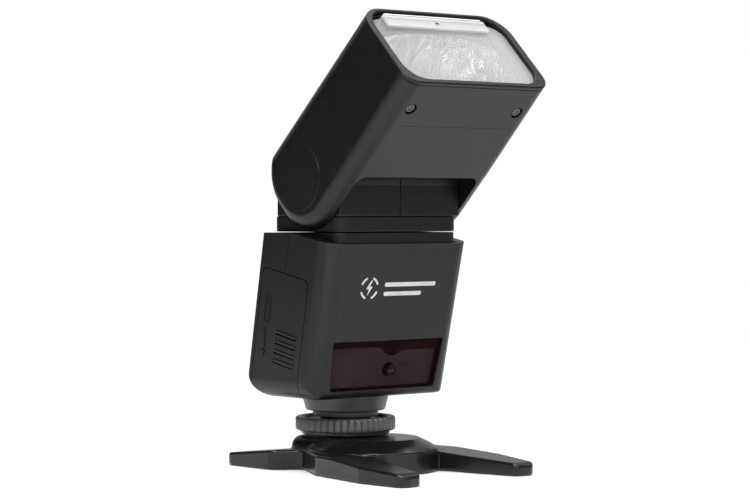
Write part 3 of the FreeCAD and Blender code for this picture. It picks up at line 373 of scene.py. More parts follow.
def piece(name, shape, material, body, replaces=(), smooth=40):
    """Turns a shape into a named piece that rides on a body and takes the given material."""
    bmesh.ops.remove_doubles(shape.mesh, verts=shape.mesh.verts, dist=1e-5)
    bmesh.ops.recalc_face_normals(shape.mesh, faces=shape.mesh.faces)
    mesh = bpy.data.meshes.new(name)
    shape.mesh.to_mesh(mesh)
    shape.mesh.free()
    mesh.transform(Matrix.Scale(MM, 4))
    mesh.shade_smooth()
    mesh.set_sharp_from_angle(angle=math.radians(smooth))
    mesh.materials.append(material)
    made = bpy.data.objects.new(name, mesh)
    bpy.context.collection.objects.link(made)
    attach(made, body)
    if replaces:
        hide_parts(*replaces)
    return made


def round_edges(thing, width, clamp=True):
    """Bevels the sharp edges by width; without clamp the bevels may pass the short edges between them."""
    bevel = thing.modifiers.new("round_edges", "BEVEL")
    bevel.width = width * MM
    bevel.segments = 3
    bevel.limit_method = "ANGLE"
    bevel.angle_limit = math.radians(SHARP_ANGLE)
    bevel.harden_normals = True
    bevel.use_clamp_overlap = clamp
    bevel.loop_slide = clamp


def dress(names, material, edge=0.0, clamp=True):
    """Gives CAD nodes a material and, where edge is set, small moulded radii in millimetres."""
    for name in names:
        thing = NODES[name]
        thing.data.materials.clear()
        thing.data.materials.append(material)
        if edge:
            weld = thing.modifiers.new("weld", "WELD")
            weld.merge_threshold = (FINE_WELD if clamp else WIDE_WELD) * MM
            flat = thing.modifiers.new("flat_faces", "DECIMATE")
            flat.decimate_type = "DISSOLVE"
            flat.angle_limit = math.radians(FLAT_ANGLE)
            round_edges(thing, edge, clamp=clamp)
            if not clamp:
                thing.modifiers.new("triangles", "TRIANGULATE")
            even = thing.modifiers.new("even_normals", "WEIGHTED_NORMAL")
            even.keep_sharp = True


# ---------------------------------------------------------------- CAD nodes that keep their shape
def finish_nodes():
    dress(("front_shell", "rear_shell"), CASE, 0.3)
    dress(("battery_door", "usb_cover"), CASE, 0.25)
    dress(("swivel_seat", "swivel_hub", "neck_left", "neck_right"), CASE, 0.45)
    dress(("foot_neck",), KEY, 0.45)
    dress(("head_upper_shell", "head_lower_shell"), CASE, 0.25)
    dress(("hinge_cap_left", "hinge_cap_right"), CASE, 0.3)
    dress(("front_bezel",), CASE, 0.45)
    dress(("stand_base",), STAND, 0.8, clamp=False)
    dress(("lock_pin", "shoe_foot"), STEEL, 0.2)
    dress(("door_slider", "swivel_washer", "guide_rod", "zoom_screw", "usb_socket", "case_screws",
           "foot_screws", "tilt_axle_left", "tilt_axle_right"), STEEL)
    dress(("zoom_motor",), STEEL, 0.3)
    dress(("contact_plate", "battery_tray", "zoom_carriage"), INSULATOR, 0.15)
    dress(("shoe_contacts", "battery_contacts"), GOLD, 0.1)
    dress(("function_key_1", "function_key_2", "function_key_3", "function_key_4", "mode_button",
           "slave_button", "set_button"), KEY, 0.15)
    dress(("test_button",), LAMP_KEY, 0.15)
    dress(("front_window",), RED_PANE, 0.15)
    dress(("focus_lamp_lens",), RED_LENS, 0.15)
    dress(("display_window",), PANE, 0.15)
    dress(("display_module",), LCD, 0.15)
    dress(("control_board", "main_board"), BOARD)
    dress(("battery_cells",), STEEL, 0.4)
    dress(("flash_capacitor",), SLEEVE, 0.5)
    dress(("charging_transformer",), TAPE, 0.5)
    dress(("bounce_card",), CARD)
    dress(("flash_tube",), GLASS)


# ---------------------------------------------------------------- stand and foot
def thread():
    """The brass insert with its thread."""
    minor, major, pitch, length, outer = 2.55, 3.17, 1.27, 4.9, 4.95
    profile = [(outer, 0.2), (outer - 0.2, 0.0), (major + 0.1, 0.0)]
    turns = int(length / pitch)
    for index in range(turns):
        low = 0.25 + index * pitch
        profile += [(minor, low), (minor, low + 0.16), (major, low + 0.58), (major, low + 0.74)]
    profile += [(minor, length - 0.3), (minor, length), (outer, length)]
    piece("brass_thread", Shape(UPRIGHT).turn(profile, closed=True), BRASS, "stand",
          replaces=("thread_insert",), smooth=25)


def wheel():
    """The knurled wheel: rounded ridges round the rim and a stepped recess on top."""
    ridges, depth = 44, 0.62
    bore, lip, rim, recess = 8.56, 15.0, 16.92, 14.6

    def ripple(turn):
        phase = (turn * ridges / (2 * math.pi)) % 1.0 - 0.5
        return -depth * math.exp(-(phase / 0.15) ** 2)

    profile = [(bore, 11.05), (lip - 0.8, 11.05), (lip - 0.2, 11.25), (lip, 11.7), (lip + 0.1, 12.15),
               (rim - 0.55, 12.45, 0.6), (rim - 0.12, 12.75, 1), (rim, 13.2, 1), (rim, 16.2, 1),
               (rim - 0.12, 16.6, 1), (rim - 0.5, 16.93, 0.8), (rim - 0.95, 17.0, 0), (recess + 0.3, 17.0),
               (recess, 16.8), (recess - 0.15, 15.95), (recess - 0.5, 15.75), (bore + 1.2, 15.72),
               (bore + 0.2, 15.65), (bore, 15.5)]
    piece("knurled_wheel", Shape(UPRIGHT).turn(profile, steps=ridges * 12, ripple=ripple, closed=True),
          KNURL, "lock_wheel", replaces=("lock_wheel",), smooth=50)
    arrow = Shape(UPRIGHT)
    for middle in (60, 180, 300):
        band = [(r * math.cos(t), r * math.sin(t)) for r, t in
                [(12.2, math.radians(middle - 16 + 3 * i)) for i in range(9)]
                + [(11.5, math.radians(middle + 8 - 3 * i)) for i in range(9)]]
        arrow.slab(band, 15.7, 15.8)
        tip = [(r * math.cos(math.radians(a)), r * math.sin(math.radians(a)))
               for r, a in ((12.9, middle + 8), (11.85, middle + 16), (10.8, middle + 8))]
        arrow.slab(tip, 15.7, 15.8)
    piece("wheel_arrows", arrow, PRINT, "lock_wheel")


def cross(radius, half_width):
    """The outline of a cross recess."""
    r, h = radius, half_width
    return [(r, -h), (r, h), (h, h), (h, r), (-h, r), (-h, h), (-r, h), (-r, -h), (-h, -h), (-h, -r),
            (h, -r), (h, -h)]


def screw(name, frame, x, z, base, top, radius, body, replaces=()):
    """A pan head with a cross recess, its axis along Y of the frame."""
    side = 1 if top > base else -1
    shape = Shape(frame @ Matrix.Translation((x, 0, z)) @ Matrix.Rotation(math.radians(38), 4, "Y"))
    shape.pierced(circle(0, 0, radius - 0.25), cross(radius * 0.58, radius * 0.15),
                  top - side * 0.2, top, top - side * 0.55)
    shape.turn([(radius, base), (radius, top - side * 0.32), (radius - 0.08, top - side * 0.16),
                (radius - 0.25, top - side * 0.01), (radius - 0.27, top - side * 0.6)], steps=32)
    piece(name, shape, BLACK_STEEL, body, replaces=replaces)


def foot_details():
    """The raised rim round the contacts under the foot."""
    contacts = Shape(UPRIGHT)
    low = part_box("shoe_contacts")[0].z / MM
    corner_low, corner_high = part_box("contact_plate")
    contacts.slab(rounded(-3.2, 3.2, -corner_high.y / MM + 0.5, -corner_low.y / MM - 0.4, 0.8),
                  low + 0.12, low + 0.3)
    piece("contact_rim", contacts, INSULATOR, "flash")


# ---------------------------------------------------------------- case front
def bolt(x, z, height):
    """The outline of a lightning bolt, a common sign for a flash."""
    points = ((0.10, 0.5), (-0.26, -0.06), (-0.03, -0.06), (-0.12, -0.5), (0.26, 0.10), (0.03, 0.10),
              (0.22, 0.5))
    return [(x + px * height, z + pz * height) for px, pz in points]


def front_mark():
    """A plain printed sign on the case front: a bolt in a broken ring and a bar."""
    shape = Shape(FRONT)
    x, z, radius = -12.0, 18.1, 3.9
    shape.slab(bolt(x, z, 5.2), 0.02, -0.02)
    for start in (20, 110, 200, 290):
        band = arc(x, z, radius, start, start + 50, 8) + arc(x, z, radius - 0.75, start + 50, start, 8)
        shape.slab(band, 0.02, -0.02)
    for low, right in ((0.9, 17.0), (-2.2, 11.0)):
        shape.slab(rounded(-5.4, right, z + low - 0.55, z + low + 0.85, 0.6), 0.02, -0.02)
    piece("front_mark", shape, PRINT, "flash")


def focus_window():
    """The moulding behind the red window, whose lighter colour and wavy upper edge are a painted reflection,
    with a near-black sheet behind it as painted shade, and the lamp's socket.
    """
    sensor_x, sensor_z = 3.6, -10.7
    half_low, half_high, low = 22.5, 23.6, -16.3

    # the wavy upper edge of the painted reflection
    def crest(x):
        off = x - sensor_x
        step = 1 / (1 + math.exp(-(off + 1.0) / 1.2))
        return -2.9 - 1.4 * step - 2.0 * math.exp(-(off / 3.8) ** 4)

    across = [(-half_high + 2 * half_high * i / 60) for i in range(61)]
    outline = [(-half_low, low), (half_low, low)] + [(x, crest(x)) for x in reversed(across)]
    hole = circle(sensor_x, sensor_z, 2.6, 32)
    shape = Shape(FRONT)
    top = [shape.mesh.verts.new(shape.frame @ Vector((x, 2.64, z))) for x, z in outline]
    lip = [shape.mesh.verts.new(shape.frame @ Vector((x, 2.64, z))) for x, z in hole]
    edges = [shape.mesh.edges.new((loop[i - 1], loop[i])) for loop in (top, lip) for i in range(len(loop))]
    faces = bmesh.ops.triangle_fill(shape.mesh, use_beauty=True, edges=edges)["geom"]
    faces = [item for item in faces if isinstance(item, bmesh.types.BMFace)]
    inward = shape.frame.to_3x3() @ Vector((0, 0.22, 0))
    moved = bmesh.ops.extrude_face_region(shape.mesh, geom=faces)["geom"]
    for item in moved:
        if isinstance(item, bmesh.types.BMVert):
            item.co += inward
    # painted reflection: the light moulding seen through the red window
    piece("lamp_housing_painted_reflection", shape, PAINTED_REFLECTION_HOUSING, "flash")
    # painted shade: a near-black sheet behind the moulding stands in for the shaded inside of the case
    mask = Shape(FRONT)
    mask.pierced(rounded(-24.6, 24.6, -16.9, 0.9, 1.0), circle(sensor_x, sensor_z, 2.2), 3.2, 2.9, 3.2)
    piece("lamp_mask_painted_shade", mask, DARK_GAP_AND_SHADE, "flash")
    rim = Shape(FRONT)
    rim.turn([(2.55, 2.8), (2.55, 2.66), (2.3, 2.62), (2.08, 2.66), (2.08, 2.8)],
             sensor_x, sensor_z, closed=True)
    piece("lamp_socket", rim, DARK_GAP_AND_SHADE, "flash")
    lens = Shape(FRONT)
    lens.turn([(0.05, 0.62), (0.6, 0.68), (1.1, 0.86), (1.45, 1.1), (1.5, 1.4), (0.4, 1.5)],
              sensor_x, sensor_z, steps=32)
    piece("lamp_dome", lens, RED_LENS, "flash")
    strip = Shape(FRONT)
    for x, z, length in ((-3.2, -9.2, 2.2), (-1.6, -10.8, 1.6), (7.2, -9.4, 3.4), (11.0, -8.9, 2.0)):
        strip.slab(rounded(x, x + length, z, z + 0.28, 0.13, 3), 2.66, 2.55)
    piece("lamp_glints", strip, RED_LENS, "flash")


# ---------------------------------------------------------------- case side: battery door and cable cover
def door_details():
    """Four raised ribs, an arrow and a cell sign on the door; springs and a link plate inside it."""
    door = REAR @ TO_LEFT      # X runs toward the rear panel, Y points out to the left, Z runs up

    def side(level):
        """Distance of the door's outer face from the middle at a height along the rear panel."""
        return 30.2 + 0.8 * (34.0 - 24.4 + level * math.cos(math.radians(11))) / 54.7

    ribs = Shape(door)
    for rise in (4.6, 7.8, 11.0, 14.2):
        face = side(rise)
        ribs.slab(rounded(-23.4, -12.6, rise + 0.72, rise + 1.75, 0.5, 4), face - 0.4, face + 0.26, edge=0.24)
    piece("door_ribs", ribs, CASE, "battery_door")

    sign = Shape(door)
    face, middle, foot = side(16), -6.9, 5.4
    inner, outer = face - 0.4, face + 0.2
    sign.slab([(middle - 1.3, foot + 2.4), (middle, foot), (middle + 1.3, foot + 2.4)],
              inner, outer, edge=0.08)
    sign.slab(rounded(middle - 0.4, middle + 0.4, foot + 2.6, foot + 10.2, 0.3, 3), inner, outer, edge=0.08)
    for low, high in ((11.6, 12.1), (20.6, 21.1)):
        sign.slab(rounded(middle - 1.4, middle + 1.4, foot + low, foot + high, 0.2, 3), inner, outer)
    for x in (middle - 1.15, middle + 1.15):
        sign.slab(rounded(x - 0.25, x + 0.25, foot + 11.8, foot + 20.9, 0.2, 3), inner, outer)
    sign.slab(rounded(middle - 0.6, middle + 0.6, foot + 21.1, foot + 21.9, 0.25, 3), inner, outer)
    for half_wide, half_tall in ((0.6, 0.18), (0.18, 0.6)):
        sign.slab(rounded(middle - half_wide, middle + half_wide,
                          foot + 18.6 - half_tall, foot + 18.6 + half_tall, 0.15, 3), inner, outer)
    piece("door_sign", sign, CASE, "battery_door")

    plate = Shape(door)
    centre_x = -13.0
    plate.slab(rounded(centre_x - 4.5, centre_x + 4.5, 1.5, 26.0, 1.5), side(0) - 2.1, side(0) - 2.5)
    piece("door_link", plate, STEEL, "battery_door")
    springs = Shape(door)
    for level in (6.2, 21.4):
        path = []
        for step in range(97):
            turn = 2 * math.pi * step / 24
            radius = 3.6 - 1.6 * step / 96
            path.append((centre_x + radius * math.cos(turn), side(0) - 2.6 - 3.6 * step / 96,
                         level + radius * math.sin(turn)))
        springs.wire(path, 0.3)
    piece("cell_springs", springs, STEEL, "battery_door")


def cells():
    """Wraps of the two cells, with one bright band each."""
    frame_in = REAR @ TO_LEFT
    start = 23.1
    wraps, bands, pips = Shape(frame_in), Shape(frame_in), Shape(frame_in)
    for level in (6.2, 21.4):
        wraps.turn([(6.6, start - 0.2), (7.2, start - 0.35), (7.3, start - 0.8), (7.3, start - 47.6),
                    (7.2, start - 48.2), (6.4, start - 48.4)], -13.0, level, closed=False)
        bands.turn([(7.34, start - 1.2), (7.34, start - 15.0), (7.3, start - 15.0), (7.3, start - 1.2)],
                   -13.0, level, closed=True)
        pips.turn([(2.6, start + 0.02), (2.6, start + 0.1), (2.2, start + 0.14)], -13.0, level)
    piece("cell_wraps", wraps, JACKET, "flash")
    piece("cell_bands", bands, BRASS, "flash")
    piece("cell_ends", pips, STEEL, "flash")


def cable_cover():
    """Finger lip and two grip bars on the cable cover."""
    cover = REAR @ Matrix.Rotation(math.radians(-90), 4, "Z")     # X to the front, Y out to the right
    face = 30.2 + 0.8 * (34.0 - 24.4 + 33.5 * math.cos(math.radians(11))) / 54.7
    shape = Shape(cover)
    shape.slab(rounded(3.9, 4.7, 30.6, 36.4, 0.35, 4), face - 0.2, face + 0.22, edge=0.15)
    for x in (5.6, 6.5):
        shape.slab(rounded(x, x + 0.4, 31.6, 35.4, 0.18, 3), face - 0.2, face + 0.12, edge=0.08)
    piece("cover_grips", shape, CASE, "usb_cover")


# ---------------------------------------------------------------- rear panel
KEY_PLACES = tuple(9.4 * step for step in (-1.5, -0.5, 0.5, 1.5))


def display():
    """What the display shows: plain bars, scales, signs and a number, with no lettering."""
    shape = Shape(READING)
    low, high, near = 1.88, 1.84, 22.9
    shape.slab(rounded(-15.6, 15.6, near + 12.6, near + 12.85, 0.1, 2), low, high)
    shape.slab(rounded(-15.6, 15.6, near + 4.6, near + 4.85, 0.1, 2), low, high)
    for step in range(15):
        x = -14.4 + step * 1.6
        tall = 1.7 if step % 5 == 0 else 1.0
        shape.slab(rounded(x - 0.12, x + 0.12, near + 5.3, near + 5.3 + tall, 0.05, 2), low, high)
    for step in range(9):
        x = -14.4 + step * 1.6
        shape.slab(rounded(x - 0.6, x + 0.6, near + 7.6, near + 9.0, 0.15, 2), low, high)
    shape.slab(bolt(-13.4, near + 14.4, 2.6), low, high)
    shape.slab(circle(-9.2, near + 14.4, 1.1), low, high)
    for step in range(4):
        x, foot = 9.8 + step * 1.3, near + 13.6
        shape.slab(rounded(x, x + 0.9, foot, foot + 0.6 + step * 0.45, 0.1, 2), low, high)
    for digit, x in ((1, 4.6), (0, 8.6), (5, 12.6)):
        seven_segment(shape, x, near + 8.4, digit, low, high)
    for x in KEY_PLACES:
        shape.slab(rounded(x - 1.9, x + 1.9, near + 1.2, near + 3.4, 0.3, 3), low, high)
    piece("display_signs", shape, SEGMENT, "flash")
    frame_line = Shape(READING)
    frame_line.slab(rounded(-16.4, -16.1, near + 0.6, near + 16.0, 0.1, 2), low, high)
    frame_line.slab(rounded(16.1, 16.4, near + 0.6, near + 16.0, 0.1, 2), low, high)
    frame_line.slab(rounded(-16.4, 16.4, near + 16.0, near + 16.3, 0.1, 2), low, high)
    frame_line.slab(rounded(-16.4, 16.4, near + 0.3, near + 0.6, 0.1, 2), low, high)
    piece("display_frame", frame_line, SEGMENT, "flash")


def seven_segment(shape, x, z, digit, low, high):
    """One number of a seven-segment display, its middle at (x, z)."""
    lit = {0: "abcdef", 1: "bc", 5: "acdfg"}[digit]
    half, tall, bar = 0.95, 1.55, 0.17
    places = {"a": (0, tall, 1), "d": (0, -tall, 1), "g": (0, 0, 1), "b": (half, tall / 2, 0),
              "c": (half, -tall / 2, 0), "f": (-half, tall / 2, 0), "e": (-half, -tall / 2, 0)}
    for letter in lit:
        dx, dz, flat = places[letter]
        wide, high_half = (half - 0.25, bar) if flat else (bar, tall / 2 - 0.22)
        at_x, at_z = x + dx, z + dz
        shape.slab(rounded(at_x - wide, at_x + wide, at_z - high_half, at_z + high_half, bar * 0.9, 2),
                   low, high)


def panel_marks():
    """Printed signs by the keys, the ring round the dial and the switch's on and off signs."""
    shape = Shape(REAR)
    low, high = -0.03, 0.03
    rise, reach = 13.0, 3.3
    for x in (-16.2, 16.2):
        for start in (25, 205):
            end = start + 45
            band = arc(x, rise, reach, start, end, 6) + arc(x, rise, reach - 0.22, end, start, 6)
            shape.slab(band, low, high)
    shape.slab(circle(-18.7, 6.3, 0.42, 16), low, high)
    shape.slab(rounded(-14.6, -14.2, 5.8, 6.9, 0.1, 2), low, high)
    for start in (35, 125, 215, 305):
        band = arc(0, 8.6, 9.25, start, start + 20, 6) + arc(0, 8.6, 9.0, start + 20, start, 6)
        shape.slab(band, low, high)
    for x in KEY_PLACES:
        shape.slab(rounded(x - 0.14, x + 0.14, 21.55, 22.25, 0.1, 2), low, high)
    piece("panel_marks", shape, PRINT, "flash")
    bezel = Shape(REAR)
    outer, inner = rounded(-18.4, 18.4, 22.4, 41.0, 2.0), rounded(-17.3, 17.3, 22.62, 39.98, 1.6)
    bezel.rings([[(x, y, z) for x, z in ring] for ring, y in
                 ((outer, -0.05), (outer, 0.22), (shrunk(outer, 0.2), 0.34), (shrunk(inner, -0.15), 0.34),
                  (inner, 0.22), (inner, -0.05))], closed=True)
    piece("display_bezel", bezel, CASE, "flash")


def key_signs():
    """One printed sign on each key."""
    level, raised = 19.6, 0.7
    for index, x in enumerate(KEY_PLACES, start=1):
        shape = Shape(REAR)
        for dot in range(index):
            at = x + (dot - (index - 1) / 2) * 0.95
            shape.slab(circle(at, level, 0.26, 12), raised - 0.02, raised + 0.03)
        piece("key_%d_sign" % index, shape, PRINT, "function_key_%d" % index)
    for name, x, rise in (("mode_button", -16.2, 13.0), ("slave_button", 16.2, 13.0)):
        shape = Shape(REAR)
        if name == "mode_button":
            for step in (-1, 0, 1):
                z = rise + step * 0.62
                shape.slab(rounded(x - 0.9, x + 0.9, z - 0.13, z + 0.13, 0.1, 2), 0.78, 0.83)
        else:
            shape.slab(circle(x, rise - 0.5, 0.28, 12), 0.78, 0.83)
            for reach in (0.75, 1.25):
                band = arc(x, rise - 0.5, reach, 40, 140, 8) + arc(x, rise - 0.5, reach - 0.2, 140, 40, 8)
                shape.slab(band, 0.78, 0.83)
        piece(name + "_sign", shape, PRINT, name)
    shape = Shape(READING)
    shape.slab(bolt(-16.2, 3.6, 2.2), -0.78, -0.83)
    piece("test_button_sign", shape, PRINT, "test_button")
    shape = Shape(REAR)
    shape.turn([(1.2, 1.08), (1.2, 1.13), (1.0, 1.13), (1.0, 1.08)], 0, 8.6, steps=32, closed=True)
    shape.slab(circle(0, 8.6, 0.35, 12), 1.08, 1.13)
    piece("set_button_sign", shape, PRINT, "set_button")


def dial():
    """The dial: a knurled rim, a dished face and four printed marks."""
    level, outer, bore, top = 8.6, 8.18, 4.12, 1.4
    ridges = 40

    def ripple(turn):
        phase = (turn * ridges / (2 * math.pi)) % 1.0 - 0.5
        return -0.26 * math.exp(-(phase / 0.2) ** 2)

    profile = [(bore, -1.5), (outer - 0.3, -1.5), (outer, -1.2), (outer, 0.1, 1), (outer, 0.95, 1),
               (outer - 0.15, 1.22, 1), (outer - 0.5, top, 0.6), (outer - 1.0, top), (outer - 1.5, top - 0.2),
               (bore + 0.9, top - 0.35), (bore + 0.35, top - 0.1), (bore + 0.1, top - 0.15),
               (bore, top - 0.4)]
    shape = Shape(REAR).turn(profile, 0, level, steps=ridges * 8, ripple=ripple, closed=True)
    piece("dial_wheel", shape, KEY, "select_dial", replaces=("select_dial",), smooth=50)
    marks = Shape(REAR)
    for turn in (0, 90, 180, 270):
        t = math.radians(turn)
        x, z = 5.9 * math.cos(t), level + 5.9 * math.sin(t)
        tip = [(x + 0.62 * math.cos(t + a), z + 0.62 * math.sin(t + a)) for a in (0, 2.2, -2.2)]
        marks.slab(tip, top - 0.42, top - 0.22)
    piece("dial_marks", marks, PRINT, "select_dial")


def switch():
    """The power switch: a knob with five grip bars."""
    left, level = -20.3, 3.6
    shape = Shape(REAR)
    shape.slab(rounded(left, left + 4, level - 1.4, level + 1.4, 1.0), -1.95, 0.72, edge=0.3)
    shape.slab(rounded(left - 1, left + 5, level - 2.2, level + 2.2, 1.0), -2.6, -1.95)
    for step in range(5):
        x = left + 0.7 + step * 0.65
        shape.slab(rounded(x - 0.16, x + 0.16, level - 1.0, level + 1.0, 0.14, 3), 0.6, 0.95, edge=0.1)
    piece("switch_knob", shape, KEY, "power_switch", replaces=("power_switch",))


# ---------------------------------------------------------------- head
def head_details():
    """Screws with their rims and the shallow joint line under the head."""
    for name, x in (("left", -23.1), ("right", 23.1)):
        screw("head_screw_" + name, HEAD, x, 47.2, -16.7, -17.35, 1.7, "head", replaces=("head_screws",))
    well = Shape(HEAD)
    for x in (-23.1, 23.1):
        well.turn([(2.08, -16.65), (2.08, -17.72), (2.3, -17.76), (2.35, -17.7), (2.35, -17.6),
                   (2.1, -16.65)], x, 47.2, closed=True)
    piece("screw_rims", well, CASE, "head")
    line = Shape(HEAD)
    line.slab(rounded(-25.3, 25.3, 39.9, 40.1, 0.09, 2), -17.6, -17.735)
    piece("underside_line", line, DARK_GAP_AND_SHADE, "head")


def lens():
    """The clear front lens with its ring ribs on the inner side."""
    half, low, high, corner = 29.0, -15.5, 13.6, 6.0
    outer, thickness = 57.0, 1.4
    middle = (low + high) / 2

    def relief(x, w, depth, flat):
        inside_x, inside_w = half - corner, (high - low) / 2 - corner
        over_x, over_w = max(abs(x) - inside_x, 0), max(abs(w - middle) - inside_w, 0)
        reach = math.hypot(over_x, over_w)
        if reach > corner:
            x -= math.copysign(over_x * (1 - corner / reach), x)
            w -= math.copysign(over_w * (1 - corner / reach), w - middle)
        if flat:
            return x, w, outer
        rings = (math.hypot(x * 0.62, w - middle) / 0.9) % 1.0
        return x, w, outer - thickness - 0.3 * rings

    shape = Shape(HEAD)
    shape.sheet((-half, half, 174), (low, high, 87), relief, thickness)
    piece("ribbed_lens", shape, FRESNEL, "head", replaces=("front_lens",), smooth=20)


def bowl():
    """The reflector: a long bowl with round ends, and the flange that fills the window."""
    front, depth = 52.5, 18.6
    half, low, high = 27.6, -14.6, 12.9
    rings = []
    steps = 20
    for step in range(steps + 1):
        share = step / steps
        open_up = math.sqrt(share)
        wide, tall = 15.5 + (half - 15.5) * open_up, 2.6 + ((high - low) / 2 - 2.6) * open_up
        middle = (high + low) / 2 * share
        ring = []
        for i in range(96):
            t = 2 * math.pi * i / 96
            power = 2 / (3.4 - 0.8 * share)
            ring.append((wide * math.copysign(abs(math.cos(t)) ** power, math.cos(t)),
                         middle + tall * math.copysign(abs(math.sin(t)) ** power, math.sin(t)),
                         front - depth + depth * share))
        rings.append(ring)
    lip = [(x * 1.025, w * 1.04, front) for x, w, _ in rings[-1]]
    outside = [[(x * 1.035 + math.copysign(0.25, x), w * 1.03 + math.copysign(0.3, w), u - 0.5)
                for x, w, u in ring] for ring in reversed(rings[:-1])]
    lip_back = [(x, w, front - 0.6) for x, w, _ in lip]
    shape = Shape(HEAD)
    shape.rings([*rings, lip, lip_back, *outside])
    piece("reflector_bowl", shape, MIRROR, "zoom_carriage",
          replaces=("reflector",), smooth=60)
    ends = Shape(HEAD @ Matrix.Rotation(math.radians(-90), 4, "Z"))
    for side in (-1, 1):
        ends.turn([(0.6, side * 19.2), (1.5, side * 19.2), (1.5, side * 21.6), (0.6, side * 21.6)],
                  0, 37.5, steps=24, closed=True)
    piece("tube_electrodes", ends, STEEL, "zoom_carriage")


def panels():
    """The pull-out diffuser with prisms on its back, its folded lip and a small arrow."""
    half, low, thick, back, front = 22.0, 13.85, 0.65, 21.0, 58.2

    def prisms(x, u, depth, flat):
        if flat:
            return x, low + thick, u
        edge = abs(x) > half - 1.2 or u > front - 3 or u < back + 1.5
        bulge = 0 if edge else 0.12 * (abs(math.sin(x * 3.3)) + abs(math.sin(u * 3.3)))
        return x, low + 0.02 + bulge, u

    shape = Shape(HEAD)
    shape.sheet((-half, half, 132), (back, front, 112), prisms, thick)
    shape.rings([[(x, w, u) for x, w in rounded(-half, half, 9.6, low + thick, 0.7, 4)]
                 for u in (front - 0.8, front)])
    piece("diffuser_panel", shape, DIFFUSER, "wide_panel", replaces=("wide_panel",), smooth=30)
    lip = Shape(HEAD)
    lip.rings([[(x, w, u) for x, w in rounded(-half + 0.4, half - 0.4, 13.2, 14.2, 0.4, 4)]
               for u in (front, front + 0.14)])
    piece("diffuser_grip", lip, DIFFUSER, "wide_panel")
    arrow = Shape(HEAD)
    arrow.rings([[(-1.2, 11.6, u), (1.2, 11.6, u), (0, 12.6, u)] for u in (front, front + 0.06)])
    piece("panel_arrow", arrow, SEGMENT, "wide_panel")


def neck_lip():
    """The overlap behind the seam of the two neck halves, which keeps light from showing through."""
    shape = Shape(Matrix.Translation((0, -14.8, 0)))
    shape.slab(rounded(-2.4, 2.4, 86.2, 109.4, 0.8), 0, 0.6, edge=0.15)
    piece("neck_lip", shape, DARK_GAP_AND_SHADE, "swivel")


# ---------------------------------------------------------------- camera, floor and light
def camera():
    """A long lens from the front left, a little above the floor."""
    distance, height = 0.8075, 0.08694
    heading, pan, dip = math.radians(-40.228), math.radians(0.710), math.radians(0.987)
    data = bpy.data.cameras.new("camera")
    data.sensor_width = 36.0
    data.lens = 114.6
    made = bpy.data.objects.new("camera", data)
    made.location = (math.sin(heading) * distance, -math.cos(heading) * distance, height)
    made.rotation_euler = (math.radians(90) - dip, 0, heading - pan)
    data.clip_start, data.clip_end = 0.01, 100
    bpy.context.collection.objects.link(made)
    bpy.context.scene.camera = made


def area_light(name, place, target, size, power):
    data = bpy.data.lights.new(name, "AREA")
    data.shape = "RECTANGLE"
    data.size, data.size_y = size
    data.energy = power
    made = bpy.data.objects.new(name, data)
    made.location = place
    made.rotation_mode = "QUATERNION"
    made.rotation_quaternion = (Vector(target) - Vector(place)).to_track_quat("-Z", "Y")
    bpy.context.collection.objects.link(made)


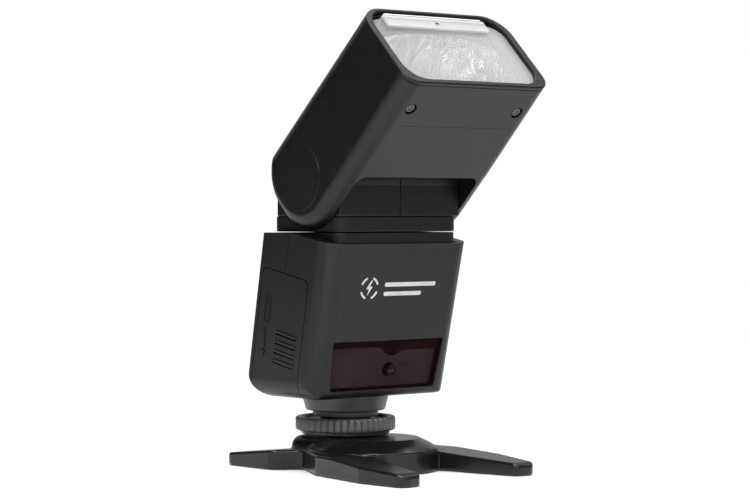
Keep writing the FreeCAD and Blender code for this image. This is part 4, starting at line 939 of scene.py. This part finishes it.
def studio():
    """White floor, a white surround brightest at the front left and behind the part, and soft boxes."""
    bpy.ops.mesh.primitive_plane_add(size=1.3, location=(0, 0, -0.2 * MM))
    floor = bpy.context.object
    floor.name = "floor"
    paper = Shader("floor_paper", (0.94, 0.94, 0.94), 0.9)
    floor.data.materials.append(paper.material)
    world = bpy.data.worlds.new("studio")
    bpy.context.scene.world = world
    world.use_nodes = True
    tree = world.node_tree
    background, output = tree.nodes["Background"], tree.nodes["World Output"]
    background.inputs["Color"].default_value = (1, 1, 1, 1)
    place = tree.nodes.new("ShaderNodeTexCoord")
    split = tree.nodes.new("ShaderNodeSeparateXYZ")
    tree.links.new(place.outputs["Generated"], split.inputs["Vector"])

    def fade(source, start, end, low, high):
        made = tree.nodes.new("ShaderNodeMapRange")
        made.interpolation_type = "SMOOTHSTEP"
        for name, value in (("From Min", start), ("From Max", end), ("To Min", low), ("To Max", high)):
            made.inputs[name].default_value = value
        tree.links.new(source, made.inputs["Value"])
        return made.outputs["Result"]

    def lobe(direction, start, end, strength):
        toward = tree.nodes.new("ShaderNodeVectorMath")
        toward.operation = "DOT_PRODUCT"
        toward.inputs[1].default_value = Vector(direction).normalized()
        tree.links.new(place.outputs["Generated"], toward.inputs[0])
        return fade(toward.outputs["Value"], start, end, 0.0, strength)

    def joined(operation, first, second):
        made = tree.nodes.new("ShaderNodeMath")
        made.operation = operation
        tree.links.new(first, made.inputs[0])
        tree.links.new(second, made.inputs[1])
        return made.outputs["Value"]

    rising = fade(split.outputs["Z"], 0.02, 0.32, 0.05, 1.0)
    front = joined("MULTIPLY", lobe((-0.70, -0.71, 0.0), 0.35, 0.80, 1.2), rising)
    right = lobe((0.62, -0.77, 0.20), 0.20, 0.92, 0.35)
    behind = lobe((0.60, 0.70, 0.42), 0.55, 0.96, 0.5)
    total = joined("ADD", joined("ADD", front, right), behind)
    tree.links.new(total, background.inputs["Strength"])
    backdrop = tree.nodes.new("ShaderNodeBackground")
    backdrop.inputs["Color"].default_value = (1, 1, 1, 1)
    backdrop.inputs["Strength"].default_value = 1.0
    path, choose = tree.nodes.new("ShaderNodeLightPath"), tree.nodes.new("ShaderNodeMixShader")
    tree.links.new(path.outputs["Is Camera Ray"], choose.inputs["Fac"])
    tree.links.new(background.outputs["Background"], choose.inputs[1])
    tree.links.new(backdrop.outputs["Background"], choose.inputs[2])
    tree.links.new(choose.outputs["Shader"], output.inputs["Surface"])
    area_light("key", (-0.95, -1.35, 1.15), (0, 0, 0.05), (0.5, 0.5), 6)
    area_light("top", (0.1, 0.1, 1.9), (0, 0, 0.0), (2.4, 2.4), 44)
    area_light("pool", (-0.22, -0.20, 0.28), (-0.22, -0.20, 0), (0.16, 0.16), 1.2)
    bpy.context.scene.view_settings.view_transform = "Standard"


camera()
studio()
finish_nodes()
thread()
wheel()
foot_details()
front_mark()
focus_window()
door_details()
cells()
cable_cover()
display()
panel_marks()
key_signs()
dial()
switch()
head_details()
lens()
bowl()
panels()
neck_lip()
